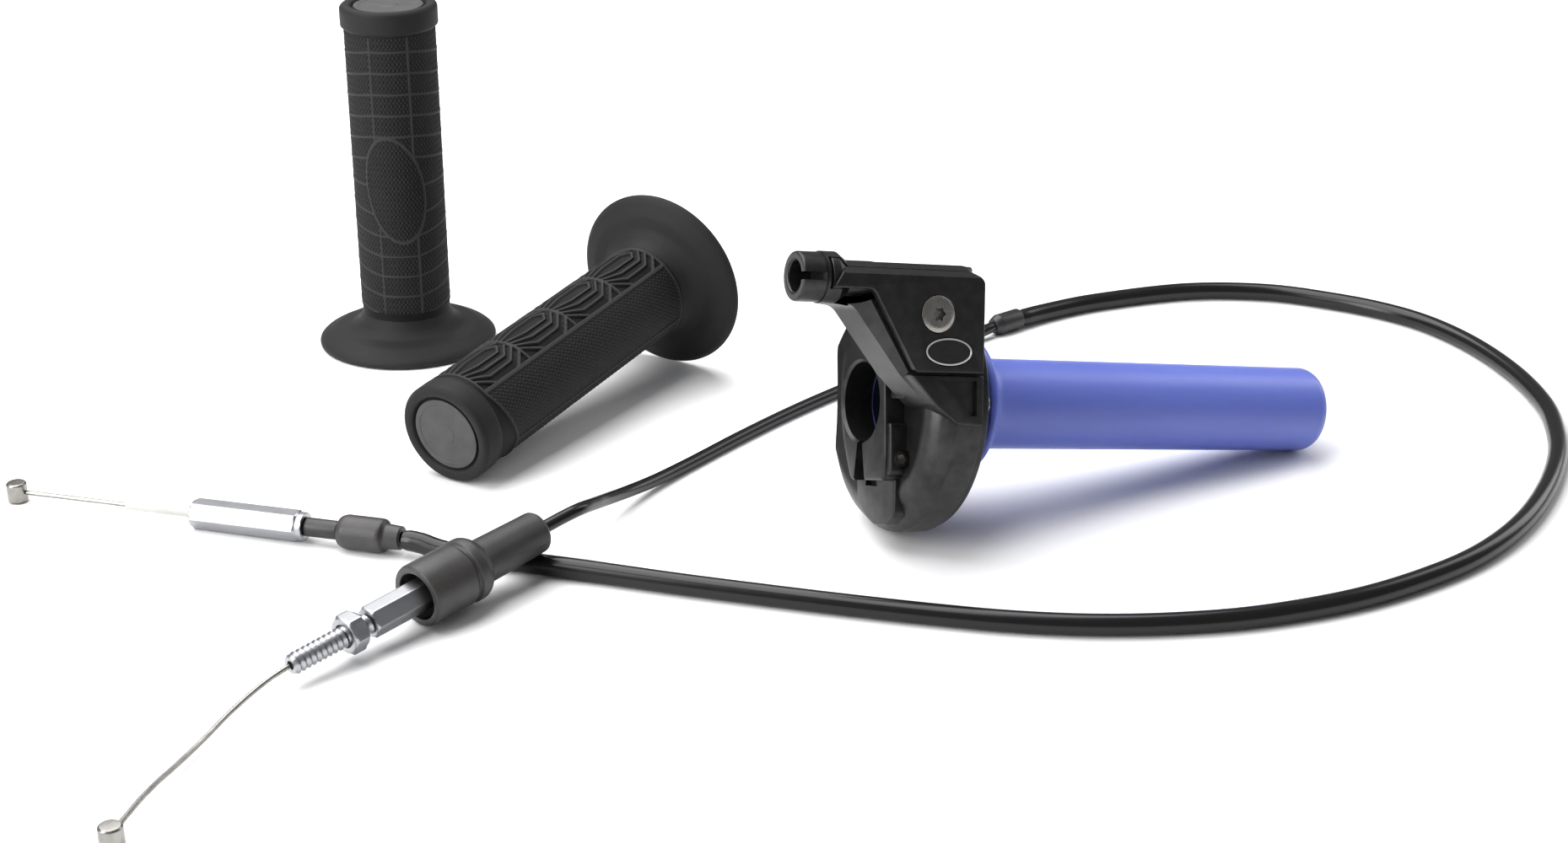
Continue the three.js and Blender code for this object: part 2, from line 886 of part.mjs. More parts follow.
const CONDUIT_ROUTE = [
  [84.7, 25.4, 3.65],
  [77.4, 22.9, 2.9],
  [63.4, 17.1, 2.0],
  [51.4, 12.2, 2.0],
  [39.4, 7.5, 2.0],
  [16.2, -1.9, 2.0],
  [-6.6, -12.5, 2.0],
  [-28.6, -24.2, 2.0],
  [-50.6, -37.0, 2.0],
  [-66.0, -46.5, 2.7],
  [-78.0, -55.0, 4.6],
  [-88.0, -64.3, 7.8],
  [-95.0, -72.5, 11.0],
  [-101.3, -79.1, 13.4],
  [-107.4, -82.1, 13.24],
  [-115.5, -86.1, 12.61],
  [-123.5, -90.0, 11.98],
  [-131.6, -94.0, 11.35],
];

const CARB_WIRE_ROUTE = [
  [-195.5, -125.1, 6.38],
  [-200.6, -127.9, 5.7],
  [-205.6, -131.3, 4.9],
  [-210.7, -135.3, 4.0],
  [-215.7, -139.8, 3.2],
  [-219.7, -144.0, 2.6],
  [-223.6, -148.2, 2.3],
  [-227.6, -152.7, 2.25],
  [-231.6, -157.3, 2.4],
  [-235.5, -161.9, 2.7],
  [-239.2, -166.7, 3.0],
  [-241.6, -169.9, 3.1],
  [-243.9, -173.2, 3.15],
  [-246.1, -176.4, 3.2],
  [-248.2, -179.7, 3.2],
];

function stepFerrule() {
  const ferrule = turned(
    [
      [0, 1.4],
      [0, 3.6],
      [9.6, 3.6],
      [12, 2.5],
      [12, 1.4],
    ],
    16,
  );
  return place(mesh("sleeve_step_ferrule", ferrule, BLACK_NYLON), STEP_FERRULE);
}

function carbNipple() {
  return nippleAcross(0, 3, 6).translate(...CARB_NIPPLE_AT);
}

// ---------------------------------------------------------------- assembly
function throttle() {
  const group = new THREE.Group();
  const twist = new THREE.Group();
  group.add(mesh("housing_body", housingBody(), BLACK_ANODISED));
  group.add(mesh("housing_cover", housingCover(), BLACK_ANODISED));
  group.add(mesh("cover_badge", coverBadge(), BADGE_GREY));
  group.add(mesh("rear_cap", rearCap(), BLACK_ANODISED));
  capScrewAngles().forEach((angle, i) => {
    group.add(mesh("rear_cap_screw_" + (i + 1), capScrew(angle), STAINLESS));
  });
  const inlet = turned(INLET_PROFILE, 22).translate(0, INLET_AT.y, INLET_AT.z);
  group.add(mesh("cable_inlet_ferrule", inlet, BLACK_ANODISED));
  group.add(mesh("roller_pivot_screw", pivotScrew(), STAINLESS));
  group.add(mesh("roller_bush", ringAboutPivot(-34.3, -26.5, 2.8, 4.4), BRASS));
  group.add(mesh("roller_washer", ringAboutPivot(-34.3, -33.6, 4.7, 7), STAINLESS));
  group.add(mesh("guide_roller", guideRoller(), WHITE_NYLON));
  group.add(mesh("clamp_pinch_bolt", pinchBolt(), STAINLESS));
  group.add(mesh("dust_seal", tube(27.9, 29.7, TUBE_RADIUS + GAP, 16.5, 28), BOOT_RUBBER));
  twist.add(mesh("throttle_tube", throttleTube(), BLUE_NYLON));
  twist.add(mesh("cable_reel", cableReel(), BLACK_NYLON));
  reelScrewAngles().forEach((angle, i) => {
    twist.add(mesh("reel_screw_" + (i + 1), reelScrew(angle), STAINLESS));
  });
  group.add(twist);

  // The rim and the end of the tube both touch the surface.
  const endRest = TUBE_LENGTH_END - 3;
  const tilt = Math.atan((RIM_RADIUS - TUBE_END_RADIUS) / (endRest - RIM_BACK));
  const height = RIM_RADIUS * Math.cos(tilt) + RIM_BACK * Math.sin(tilt);
  group.position.set(THROTTLE_AT.x, THROTTLE_AT.y, height + 0.05);
  group.rotation.set(-THROTTLE_ROLL, tilt, 0, "YXZ");
  return group;
}

function leftGrip() {
  const group = gripPieces("left", LEFT_GRIP);
  group.rotation.y = Math.PI / 2;
  group.position.set(...LEFT_GRIP.at, GRIP_LENGTH);
  return group;
}

function rightGrip() {
  const group = gripPieces("right", RIGHT_GRIP);
  const pitch = Math.asin((GRIP_FLANGE_RADIUS - GRIP_COLLAR_RADIUS) / (GRIP_LENGTH - 3));
  const height = GRIP_COLLAR_RADIUS * Math.cos(pitch) - Math.sin(pitch);
  group.position.set(...RIGHT_GRIP.at, height + 0.1);
  group.rotation.set(0, -pitch, RIGHT_GRIP_HEADING, "ZYX");
  return group;
}

function cable() {
  const group = new THREE.Group();
  group.add(throttleEnd());
  group.add(carbEnd());
  group.add(stepFerrule());
  group.add(mesh("cable_sleeve", cord(SLEEVE_ROUTE, SLEEVE_DIAMETER, 10, 46), CONDUIT_BLACK));
  group.add(mesh("cable_conduit", cord(CONDUIT_ROUTE, CONDUIT_DIAMETER, 8, 20), CONDUIT_BLACK));
  group.add(mesh("carb_wire", cord(CARB_WIRE_ROUTE, WIRE_DIAMETER, 8, 14), STAINLESS));
  group.add(mesh("carb_nipple", carbNipple(), STAINLESS));
  return group;
}

const kit = new THREE.Group();
kit.add(throttle());
kit.add(leftGrip());
kit.add(rightGrip());
kit.add(cable());

export default kit;
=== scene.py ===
"""Looks of a quick-turn motorcycle throttle kit: the throttle housing with its twist tube, one loose
throttle cable and two rubber grips. Lengths are in millimetres in local frames that come from the
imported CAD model, and turn into metres where a mesh is made."""
import json
import math

import bmesh
import bpy
import numpy as np
from mathutils import Matrix, Vector


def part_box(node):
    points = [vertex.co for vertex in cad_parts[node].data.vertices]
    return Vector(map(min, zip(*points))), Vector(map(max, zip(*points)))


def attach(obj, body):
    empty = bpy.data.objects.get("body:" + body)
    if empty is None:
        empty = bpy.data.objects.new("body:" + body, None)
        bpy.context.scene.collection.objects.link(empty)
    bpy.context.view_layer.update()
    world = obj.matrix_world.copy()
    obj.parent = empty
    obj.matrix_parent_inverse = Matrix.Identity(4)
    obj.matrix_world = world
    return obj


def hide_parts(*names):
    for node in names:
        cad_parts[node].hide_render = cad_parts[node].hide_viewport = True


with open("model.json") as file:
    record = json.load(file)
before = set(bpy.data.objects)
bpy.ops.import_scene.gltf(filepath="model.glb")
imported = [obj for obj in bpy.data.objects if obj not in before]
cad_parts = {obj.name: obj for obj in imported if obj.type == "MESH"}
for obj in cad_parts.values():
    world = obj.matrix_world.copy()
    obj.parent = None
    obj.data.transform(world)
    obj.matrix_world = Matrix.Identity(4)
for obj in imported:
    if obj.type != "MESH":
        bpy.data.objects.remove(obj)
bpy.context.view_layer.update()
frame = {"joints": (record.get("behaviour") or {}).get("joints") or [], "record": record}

MM = 0.001
UP = Vector((0, 0, 1))
SCENE = bpy.context.scene


# ---------------------------------------------------------------- local frames from the CAD model
def middle(node):
    low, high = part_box(node)
    return (low + high) / 2


def joint(name):
    return next(j for j in frame["joints"] if j["name"] == name)


def mount(name):
    return next(m for m in frame["record"]["mounts"] if m["name"] == name)


def placed(origin, x_axis, y_axis=None):
    """The matrix of a local frame in millimetres. Its Y is level where no Y axis is given."""
    x = Vector(x_axis).normalized()
    y = Vector(y_axis) if y_axis else UP.cross(x)
    y = (y - x * y.dot(x)).normalized()
    turn = Matrix((x, y, x.cross(y))).transposed().to_4x4()
    return Matrix.Translation(origin) @ turn @ Matrix.Scale(MM, 4)


INLAY_MIDDLE = 0.95  # where the middle of a grip's end inlay lies along the grip
LOCKNUT_MIDDLE = -22.8  # along the carburettor end's frame
LINER_MIDDLE = 73.0  # along the throttle end's frame


def frame_along(node, axis, distance, y_axis=None):
    """The frame whose X runs along axis, with the middle of node at that distance from its origin."""
    axis = Vector(axis).normalized()
    return placed(middle(node) - axis * distance * MM, axis, y_axis)


THROTTLE = placed(
    joint("tube_twist")["pos_m"], joint("tube_twist")["axis"], joint("roller_turn")["axis"]
)
LEFT_GRIP = frame_along("left_grip_end_inlay", (0, 0, -1), INLAY_MIDDLE, (0, 1, 0))
RIGHT_GRIP = frame_along("right_grip_end_inlay", mount("right_grip_mouth")["axis"], INLAY_MIDDLE)
CARB_END = frame_along("adjuster_locknut", joint("boot_slide")["axis"], LOCKNUT_MIDDLE)
THROTTLE_END = frame_along("cable_liner", joint("wire_pull")["axis"], LINER_MIDDLE)


# ---------------------------------------------------------------- camera
def make_camera():
    data = bpy.data.cameras.new("camera")
    data.lens = 58.1
    data.sensor_width = 36
    data.clip_start = 0.01
    camera = bpy.data.objects.new("camera", data)
    camera.location = (-0.3051, -0.6963, 0.315)
    camera.rotation_euler = (math.radians(67), 0, math.radians(-23.35))
    SCENE.collection.objects.link(camera)
    SCENE.camera = camera


make_camera()


# ---------------------------------------------------------------- mesh helpers
def curve_through(points, step):
    """A smooth centreline through given points, in points about step apart."""
    p = np.array(points, float)
    p = np.vstack([2 * p[0] - p[1], p, 2 * p[-1] - p[-2]])
    line = []
    for a, b, c, d in zip(p, p[1:], p[2:], p[3:]):
        count = max(2, int(round(np.linalg.norm(c - b) / step)))
        for t in np.arange(count) / count:
            slope_b = (c - a) / 2
            slope_c = (d - b) / 2
            line.append(
                (2 * t**3 - 3 * t**2 + 1) * b
                + (t**3 - 2 * t**2 + t) * slope_b
                + (3 * t**2 - 2 * t**3) * c
                + (t**3 - t**2) * slope_c
            )
    line.append(p[-2])
    return np.array(line)


def rounded(profile, closed, steps=4):
    """A polyline of (x, r, radius) points with its corners turned into short arcs."""
    pts = [np.array(p[:2], float) for p in profile]
    radii = [p[2] if len(p) > 2 else 0.25 for p in profile]
    out = []
    count = len(pts)
    for i, (p, radius) in enumerate(zip(pts, radii)):
        if not closed and i in (0, count - 1):
            out.append(p)
            continue
        before = pts[i - 1] - p
        after = pts[(i + 1) % count] - p
        reach = min(radius, 0.45 * np.linalg.norm(before), 0.45 * np.linalg.norm(after))
        if reach < 1e-3:
            out.append(p)
            continue
        a = p + before / np.linalg.norm(before) * reach
        b = p + after / np.linalg.norm(after) * reach
        for t in np.linspace(0, 1, steps + 1):
            out.append((1 - t) ** 2 * a + 2 * t * (1 - t) * p + t**2 * b)
    return np.array(out)


def skinned(name, rings, loop=False):
    """A closed mesh over rings of points in millimetres. The ends are capped unless loop is set."""
    rows, columns = rings.shape[:2]
    index = np.arange(rows * columns).reshape(rows, columns)
    if loop:
        index = np.vstack([index, index[:1]])
    across = np.roll(index, -1, axis=1)
    quads = np.stack([index[:-1], across[:-1], across[1:], index[1:]], axis=-1).reshape(-1, 4)
    mesh = bpy.data.meshes.new(name)
    faces = quads.tolist()
    if not loop:
        faces += [index[0].tolist(), index[-1].tolist()]
    mesh.from_pydata(rings.reshape(-1, 3).tolist(), [], faces)
    work = bmesh.new()
    work.from_mesh(mesh)
    bmesh.ops.remove_doubles(work, verts=work.verts, dist=1e-4)
    bmesh.ops.recalc_face_normals(work, faces=work.faces)
    work.to_mesh(mesh)
    work.free()
    obj = bpy.data.objects.new(name, mesh)
    SCENE.collection.objects.link(obj)
    return obj


def in_row_frame(local, matrix):
    turned = local @ np.array(matrix)[:3, :3].T
    return turned + np.array(matrix)[:3, 3]


def turned(name, profile, segments=96, limit=None, about_y=False, relief=None):
    """A solid turned about local X (or Y). A profile that starts and ends on the axis is solid, any
    other closes on itself. limit gives the greatest radius at each angle, and relief adds height."""
    solid = profile[0][1] == 0 and profile[-1][1] == 0
    line = rounded(profile, closed=not solid)
    angle = 2 * np.pi * np.arange(segments) / segments
    if solid:
        line = line[1:-1]
    radius = np.repeat(line[:, 1:2], segments, axis=1)
    if limit is not None:
        radius = np.minimum(radius, limit(angle)[None, :])
    along = np.repeat(line[:, :1], segments, axis=1)
    if relief is not None:
        radius = radius + relief(along, angle[None, :], radius)
    local = np.stack([along, radius * np.cos(angle), radius * np.sin(angle)], axis=-1)
    if about_y:
        local = np.stack([-local[..., 1], local[..., 0], local[..., 2]], axis=-1)
    obj = skinned(name, local, loop=not solid)
    shade(obj)
    return obj


def moved(obj, x=0.0, y=0.0, z=0.0):
    obj.data.transform(Matrix.Translation((x, y, z)))
    return obj


def inset(points, distance):
    """An outline moved inwards by a distance."""
    p = np.array(points, float)
    before = p - np.roll(p, 1, axis=0)
    after = np.roll(p, -1, axis=0) - p
    turn = np.sign(np.sum(p[:, 0] * np.roll(p[:, 1], -1) - np.roll(p[:, 0], -1) * p[:, 1]))
    sides = []
    for edge in (before, after):
        square = np.column_stack([-edge[:, 1], edge[:, 0]]) * turn
        sides.append(square / np.linalg.norm(edge, axis=1)[:, None])
    share = distance / (1 + np.sum(sides[0] * sides[1], axis=1))
    return p + (sides[0] + sides[1]) * share[:, None]


def slab(name, across, levels):
    """A solid through outlines across local X or Y. Each level is a (place, points) pair."""
    rings = []
    for place, points in levels:
        p = np.array(points, float)
        depth = np.full(len(p), place)
        columns = [depth, p[:, 0], p[:, 1]] if across == "x" else [p[:, 0], depth, p[:, 1]]
        rings.append(np.column_stack(columns))
    return skinned(name, np.array(rings))


def prism(across, low, high, outline):
    """A cutter with the same outline from low to high."""
    return slab("cutter", across, [(low, outline), (high, outline)])


def plate(name, across, low, high, outline, edge=0.5, corner=1.0):
    """A plate of (a, b[, radius]) corners that fills low .. high, with rounded edges."""
    sharp = [point[:2] for point in outline]
    radii = [point[2] if len(point) > 2 else corner for point in outline]

    def ring(sunk):
        corners = [(*q, max(r - sunk, 0.15)) for q, r in zip(inset(sharp, sunk), radii)]
        return rounded(corners, closed=True, steps=5)

    front = []
    for turn in (0, np.pi / 6, np.pi / 3, np.pi / 2):
        front.append((low + edge * (1 - math.cos(turn)), ring(edge * (1 - math.sin(turn)))))
    levels = front + [(high + low - place, points) for place, points in reversed(front)]
    return slab(name, across, levels)


def applied(obj):
    """Applies an object's modifiers to its mesh."""
    graph = bpy.context.evaluated_depsgraph_get()
    mesh = bpy.data.meshes.new_from_object(obj.evaluated_get(graph))
    obj.modifiers.clear()
    obj.data = mesh
    return obj


def worked(obj, joined=(), cut=(), soften=0.25, smooth=35):
    """Joins and cuts solids, breaks the sharp edges and shades the result."""
    for operation, others in (("UNION", joined), ("DIFFERENCE", cut)):
        for other in others:
            step = obj.modifiers.new(operation.lower(), "BOOLEAN")
            step.operation = operation
            step.solver = "EXACT"
            step.object = other
    applied(obj)
    for other in (*joined, *cut):
        bpy.data.objects.remove(other)
    work = bmesh.new()
    work.from_mesh(obj.data)
    bmesh.ops.remove_doubles(work, verts=work.verts, dist=4e-4)
    bmesh.ops.dissolve_degenerate(work, edges=work.edges, dist=2e-4)
    work.to_mesh(obj.data)
    work.free()
    shade(obj, smooth)
    if soften:
        bevel = obj.modifiers.new("soften", "BEVEL")
        bevel.harden_normals = True
        bevel.width = soften
        bevel.segments = 2
        bevel.limit_method = "ANGLE"
        bevel.angle_limit = math.radians(28)
        bevel.use_clamp_overlap = True
    return applied(obj)


def shade(obj, angle=35):
    obj.data.shade_smooth()
    obj.data.set_sharp_from_angle(angle=math.radians(angle))


def hexagonal(across_flats):
    """The radius of a hexagon at each angle. A corner points along local Y, and the corners are a
    little broken."""

    def limit(angle):
        flat = across_flats / 2 / np.cos(angle % (np.pi / 3) - np.pi / 6)
        return np.minimum(flat, across_flats / math.sqrt(3) * 0.985)

    return limit


def note(obj, name, values):
    """Stores a number or a place for each vertex, for the materials to read."""
    kind, key = ("FLOAT", "value") if values.ndim == 1 else ("FLOAT_VECTOR", "vector")
    layer = obj.data.attributes.new(name, kind, "POINT")
    layer.data.foreach_set(key, values.astype(np.float32).ravel())


def keep(obj, matrix, body, slot, node):
    """Finishes a piece: it notes each vertex's local place for the materials, moves the mesh into the
    row's frame, says which body it rides on and hides the CAD node it stands for."""
    co = np.empty(len(obj.data.vertices) * 3, np.float32)
    obj.data.vertices.foreach_get("co", co)
    note(obj, "local", co.reshape(-1, 3))
    obj.data.transform(matrix)
    obj.data.materials.clear()
    obj.data.materials.append(MATERIALS[slot])
    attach(obj, body)
    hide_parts(node)
    return obj


# ---------------------------------------------------------------- materials
def add(tree, kind, settings=None, **sockets):
    """A shader node. A socket's value is a constant or another node's output socket."""
    made = tree.nodes.new(kind)
    for key, value in (settings or {}).items():
        setattr(made, key, value)
    for key, value in sockets.items():
        socket = made.inputs[key.replace("_", " ")]
        if isinstance(value, bpy.types.NodeSocket):
            tree.links.new(value, socket)
        else:
            socket.default_value = value
    return made


def ramp(tree, value, low, high, dark, light):
    made = add(tree, "ShaderNodeValToRGB", Fac=value)
    made.color_ramp.elements[0].position = low
    made.color_ramp.elements[1].position = high
    made.color_ramp.elements[0].color = (*dark, 1)
    made.color_ramp.elements[1].color = (*light, 1)
    return made.outputs["Color"]


def surface(
    name, dark, light, roughness, grain, bump, spread=0.06, stretch=(1, 1, 1), relief=None, **constants
):
    """A material with cloudy colour, uneven roughness and a fine grain, sized in millimetres.
    stretch draws the grain out along an axis. relief is the colour where the mesh's relief value
    is 1, such as on raised ribs."""
    material = bpy.data.materials.new(name)
    material.use_nodes = True
    tree = material.node_tree
    shader = tree.nodes["Principled BSDF"]
    for key, value in constants.items():
        shader.inputs[key.replace("_", " ")].default_value = value
    local = add(tree, "ShaderNodeAttribute", {"attribute_name": "local"}).outputs["Vector"]
    drawn = add(tree, "ShaderNodeMapping", Vector=local, Scale=stretch).outputs["Vector"]
    cloud = add(tree, "ShaderNodeTexNoise", Vector=drawn, Scale=1 / (14 * grain), Detail=4)
    fine = add(tree, "ShaderNodeTexNoise", Vector=drawn, Scale=1 / grain, Detail=3)
    colour = ramp(tree, cloud.outputs["Fac"], 0.3, 0.7, dark, light)
    # The relief blend also paints light and shade: painted shade inside the twist tube, and a partly
    # painted highlight on the grip ribs.
    if relief is not None:
        height = add(tree, "ShaderNodeAttribute", {"attribute_name": "relief"}).outputs["Fac"]
        blend = add(tree, "ShaderNodeMix", {"data_type": "RGBA"})
        tree.links.new(height, blend.inputs[0])
        tree.links.new(colour, blend.inputs[6])
        blend.inputs[7].default_value = (*relief, 1)
        colour = blend.outputs[2]
    tree.links.new(colour, shader.inputs["Base Color"])
    uneven = add(
        tree,
        "ShaderNodeMapRange",
        Value=fine.outputs["Fac"],
        From_Min=0.25,
        From_Max=0.75,
        To_Min=roughness - spread,
        To_Max=roughness + spread,
    )
    tree.links.new(uneven.outputs["Result"], shader.inputs["Roughness"])
    bumped = add(
        tree, "ShaderNodeBump", Height=fine.outputs["Fac"], Strength=bump, Distance=0.2 * MM
    )
    tree.links.new(bumped.outputs["Normal"], shader.inputs["Normal"])
    return material


def grey(level, blue=1.0):
    return (level, level, level * blue)


MATERIALS = {
    "black_anodised": surface(
        "black_anodised", grey(0.034), grey(0.048), 0.36, 0.25, 0.06, Metallic=0.9
    ),
    "badge": surface(
        "badge", grey(0.020), grey(0.028), 0.35, 0.2, 0.05, relief=grey(0.50), Metallic=0.5
    ),
    "stainless": surface(
        "stainless", (0.24, 0.23, 0.215), (0.34, 0.33, 0.31), 0.30, 0.3, 0.08, Metallic=1.0
    ),
    "bronze": surface("bronze", (0.42, 0.25, 0.09), (0.58, 0.38, 0.16), 0.42, 0.3, 0.2, Metallic=1.0),
    "white_nylon": surface(
        "white_nylon", (0.44, 0.43, 0.41), (0.54, 0.53, 0.50), 0.42, 0.5, 0.08, Subsurface_Weight=0.25,
        Subsurface_Radius=(0.002, 0.002, 0.0018), Subsurface_Scale=1.0,
    ),
    "black_nylon": surface("black_nylon", grey(0.007), grey(0.011), 0.42, 0.5, 0.15),
    # blue_nylon's relief colour is painted shade: it darkens the inside of the twist tube.
    "blue_nylon": surface(
        "blue_nylon", (0.105, 0.145, 0.52), (0.125, 0.170, 0.57), 0.40, 0.7, 0.05,
        stretch=(0.15, 1, 1), relief=(0.004, 0.005, 0.016), Subsurface_Weight=0.3,
        Subsurface_Radius=(0.001, 0.0014, 0.004), Subsurface_Scale=1.0, Coat_Weight=0.12,
        Coat_Roughness=0.28,
    ),
    # grip_rubber's relief colour lightens the rib tops: partly dust and wear, partly painted
    # highlight.
    "grip_rubber": surface(
        "grip_rubber", grey(0.0028, 1.03), grey(0.0048, 1.03), 0.60, 0.35, 0.25,
        relief=grey(0.030, 1.03), Specular_IOR_Level=0.16,
    ),
    "grey_inlay": surface("grey_inlay", grey(0.034, 1.04), grey(0.048, 1.04), 0.55, 0.3, 0.25),
    "boot_rubber": surface(
        "boot_rubber", (0.021, 0.0195, 0.019), (0.034, 0.0315, 0.0305), 0.45, 0.5, 0.20, spread=0.09
    ),
    "conduit_black": surface(
        "conduit_black", grey(0.005), grey(0.007), 0.24, 0.8, 0.0, spread=0.02, stretch=(0.2, 1, 1),
        Specular_IOR_Level=0.35,
    ),
    "zinc_plate": surface(
        "zinc_plate", (0.33, 0.335, 0.35), (0.43, 0.435, 0.455), 0.34, 0.6, 0.06, stretch=(0.2, 1, 1),
        Metallic=1.0,
    ),
}


# ---------------------------------------------------------------- cable
SLEEVE_DIAMETER = 6.0
CONDUIT_DIAMETER = 3.8
WIRE_DIAMETER = 1.5

SLEEVE_ROUTE = [
    (-147.9, -61.8, 5.0), (-144.1, -65.1, 4.7), (-136.1, -72.5, 3.2), (-111.8, -91.9, 3.05),
    (-86.1, -114.0, 3.05), (-67.2, -129.4, 3.05), (-48.9, -143.9, 3.05), (-30.6, -157.7, 3.05),
    (-12.0, -170.5, 3.05), (7.6, -181.1, 3.05), (28.7, -189.1, 3.05), (51.4, -194.3, 3.05),
    (79.4, -195.9, 3.05), (105.4, -192.7, 3.05), (128.4, -186.3, 3.05), (151.4, -174.7, 3.05),
    (173.4, -158.5, 3.05), (192.7, -139.9, 3.05), (206.0, -122.3, 3.05), (216.0, -104.3, 3.05),
    (223.8, -80.3, 3.05), (227.4, -54.7, 3.05), (226.0, -32.3, 3.05), (220.0, -14.9, 3.05),
    (209.0, 1.7, 3.05), (192.0, 19.1, 3.05), (165.6, 31.3, 3.05), (131.4, 34.5, 3.05),
    (109.4, 32.1, 3.3), (97.4, 29.1, 3.65),
]
CONDUIT_ROUTE = [
    (84.7, 25.4, 3.65), (77.4, 22.9, 2.9), (63.4, 17.1, 2.0), (51.4, 12.2, 2.0),
    (39.4, 7.5, 2.0), (16.2, -1.9, 2.0), (-6.6, -12.5, 2.0), (-28.6, -24.2, 2.0),
    (-50.6, -37.0, 2.0), (-66.0, -46.5, 2.7), (-78.0, -55.0, 4.6), (-88.0, -64.3, 7.8),
    (-95.0, -72.5, 11.0), (-101.3, -79.1, 13.4), (-107.4, -82.1, 13.24), (-115.5, -86.1, 12.61),
    (-123.5, -90.0, 11.98), (-131.6, -94.0, 11.35),
]
CARB_WIRE_ROUTE = [
    (-195.5, -125.1, 6.38), (-200.6, -127.9, 5.7), (-205.6, -131.3, 4.9), (-210.7, -135.3, 4.0),
    (-215.7, -139.8, 3.2), (-219.7, -144.0, 2.6), (-223.6, -148.2, 2.3), (-227.6, -152.7, 2.25),
    (-231.6, -157.3, 2.4), (-235.5, -161.9, 2.7), (-239.2, -166.7, 3.0), (-241.6, -169.9, 3.1),
    (-243.9, -173.2, 3.15), (-246.1, -176.4, 3.2), (-248.2, -179.7, 3.2),
]


def swept(name, line, radius, slot, body, node, strands=0, lay=9.0, sides=24):
    """A round cord along a centreline in millimetres, or a wire of twisted strands."""
    ahead = np.gradient(line, axis=0)
    ahead /= np.linalg.norm(ahead, axis=1)[:, None]
    travelled = np.concatenate([[0], np.cumsum(np.linalg.norm(np.diff(line, axis=0), axis=1))])
    side = np.cross(ahead, [0, 0, 1])
    side /= np.linalg.norm(side, axis=1)[:, None]
    over = np.cross(side, ahead)
    angle = 2 * np.pi * np.arange(sides) / sides
    reach = np.full((len(line), sides), radius)
    if strands:
        twist = angle[None, :] - 2 * np.pi * travelled[:, None] / lay
        reach = radius * (1 - 0.16 * np.abs(np.sin(strands / 2 * twist)))
    ends = np.array([0, -1])
    reach[ends] *= 0.9
    sine, cosine = np.sin(angle), np.cos(angle)
    ring = cosine[None, :, None] * side[:, None] + sine[None, :, None] * over[:, None]
    points = line[:, None] + reach[..., None] * ring
    obj = skinned(name, points)
    shade(obj)
    obj.data.transform(Matrix.Scale(MM, 4))
    local = np.stack(np.broadcast_arrays(travelled[:, None], radius * cosine, radius * sine), axis=-1)
    note(obj, "local", local.reshape(-1, 3))
    obj.data.materials.append(MATERIALS[slot])
    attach(obj, body)
    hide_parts(node)
    return obj


WIRE_STRANDS = 7
STRAIGHT_WIRE = (40, 121.9)  # where the straight wire starts and ends along the throttle end's frame
straight = np.outer(np.linspace(*STRAIGHT_WIRE, 140), [1, 0, 0])
CORD_LINES = {
    "sleeve": curve_through(SLEEVE_ROUTE, 2.0),
    "conduit": curve_through(CONDUIT_ROUTE, 2.0),
    "wire_at_carb_end": curve_through(CARB_WIRE_ROUTE, 0.6),
    "wire_at_throttle_end": in_row_frame(straight, THROTTLE_END) / MM,
}
for name, node, diameter, slot, body, strands in (
    ("sleeve", "cable_sleeve", SLEEVE_DIAMETER, "conduit_black", "housing", 0),
    ("conduit", "cable_conduit", CONDUIT_DIAMETER, "conduit_black", "housing", 0),
    ("wire_at_carb_end", "carb_wire", WIRE_DIAMETER, "stainless", "housing", WIRE_STRANDS),
    ("wire_at_throttle_end", "throttle_wire", WIRE_DIAMETER, "stainless", "inner_wire", WIRE_STRANDS),
):
    swept(name, CORD_LINES[name], diameter / 2, slot, body, node, strands)


# ---------------------------------------------------------------- throttle
RIM_RADIUS = 37.0
RIM_FRONT = 11.0
GAP = 0.3  # between neighbouring pieces
RIM_BACK = 19.0
CLAMP_LENGTH = 9.2
CAVITY_RADIUS = 31.2
BACK_FACES = [(25.4, 0, 0), (17.7, 23.5, 0.8), (20.2, -23.9, -0.483)]  # y, z and turn about X
BACK_WALL = 2.0
CLAMP_BORE = 11.3
COVER_FACE = -38.0
BODY_FRONT = -34.7
ROLLER = {"x": 3.8, "z": 24.1}
INLET = {"y": -30.0, "z": 33.2}
PINCH_BOLT = {"x": 4.6, "z": -16.0}
BADGE = {"x": 7.4, "z": 13.9}
TUBE_RADIUS = 13.2
TUBE_BORE = 11.5
TUBE_END = 155.0
FLANGE_FRONT = 32.2
FLANGE_RADIUS = 19.5
CAP_SCREW_CIRCLE = 33.6
CAP_SCREWS = [
    {"y": CAP_SCREW_CIRCLE * math.cos(angle), "z": CAP_SCREW_CIRCLE * math.sin(angle)}
    for angle in map(math.radians, (100, 180, 260))
]
CAP_BACK = 30.0
REEL = {"front": 9.8, "back": 15.8, "bore": 14.8, "hub": 22.6, "rim": 29.8}
REEL_SCREW_CIRCLE = 18.6


def cylinder(low, high, radius, about_y=True, segments=48):
    line = [(low, 0), (low, radius, 0), (high, radius, 0), (high, 0)]
    return turned("cutter", line, segments, about_y=about_y)


def block(low, high):
    """A box between two corners, as a cutter."""
    (x0, y0, z0), (x1, y1, z1) = low, high
    return prism("x", x0, x1, [(y0, z0), (y1, z0), (y1, z1), (y0, z1)])


def star(radius, waist, count=6, steps=8):
    """The outline of a six-lobed socket."""
    angle = 2 * np.pi * np.arange(count * steps) / (count * steps)
    reach = (radius + waist) / 2 + (radius - waist) / 2 * np.cos(count * angle)
    return np.column_stack([reach * np.cos(angle), reach * np.sin(angle)])


def inlet_room():
    room = [(-29, 0), (-29, 7.1, 0), (-24.6, 7.1, 0), (-21.3, 4.9, 0), (-13.1, 4.9, 0), (-13.1, 0)]
    return moved(turned("cutter", room, 64), **INLET)


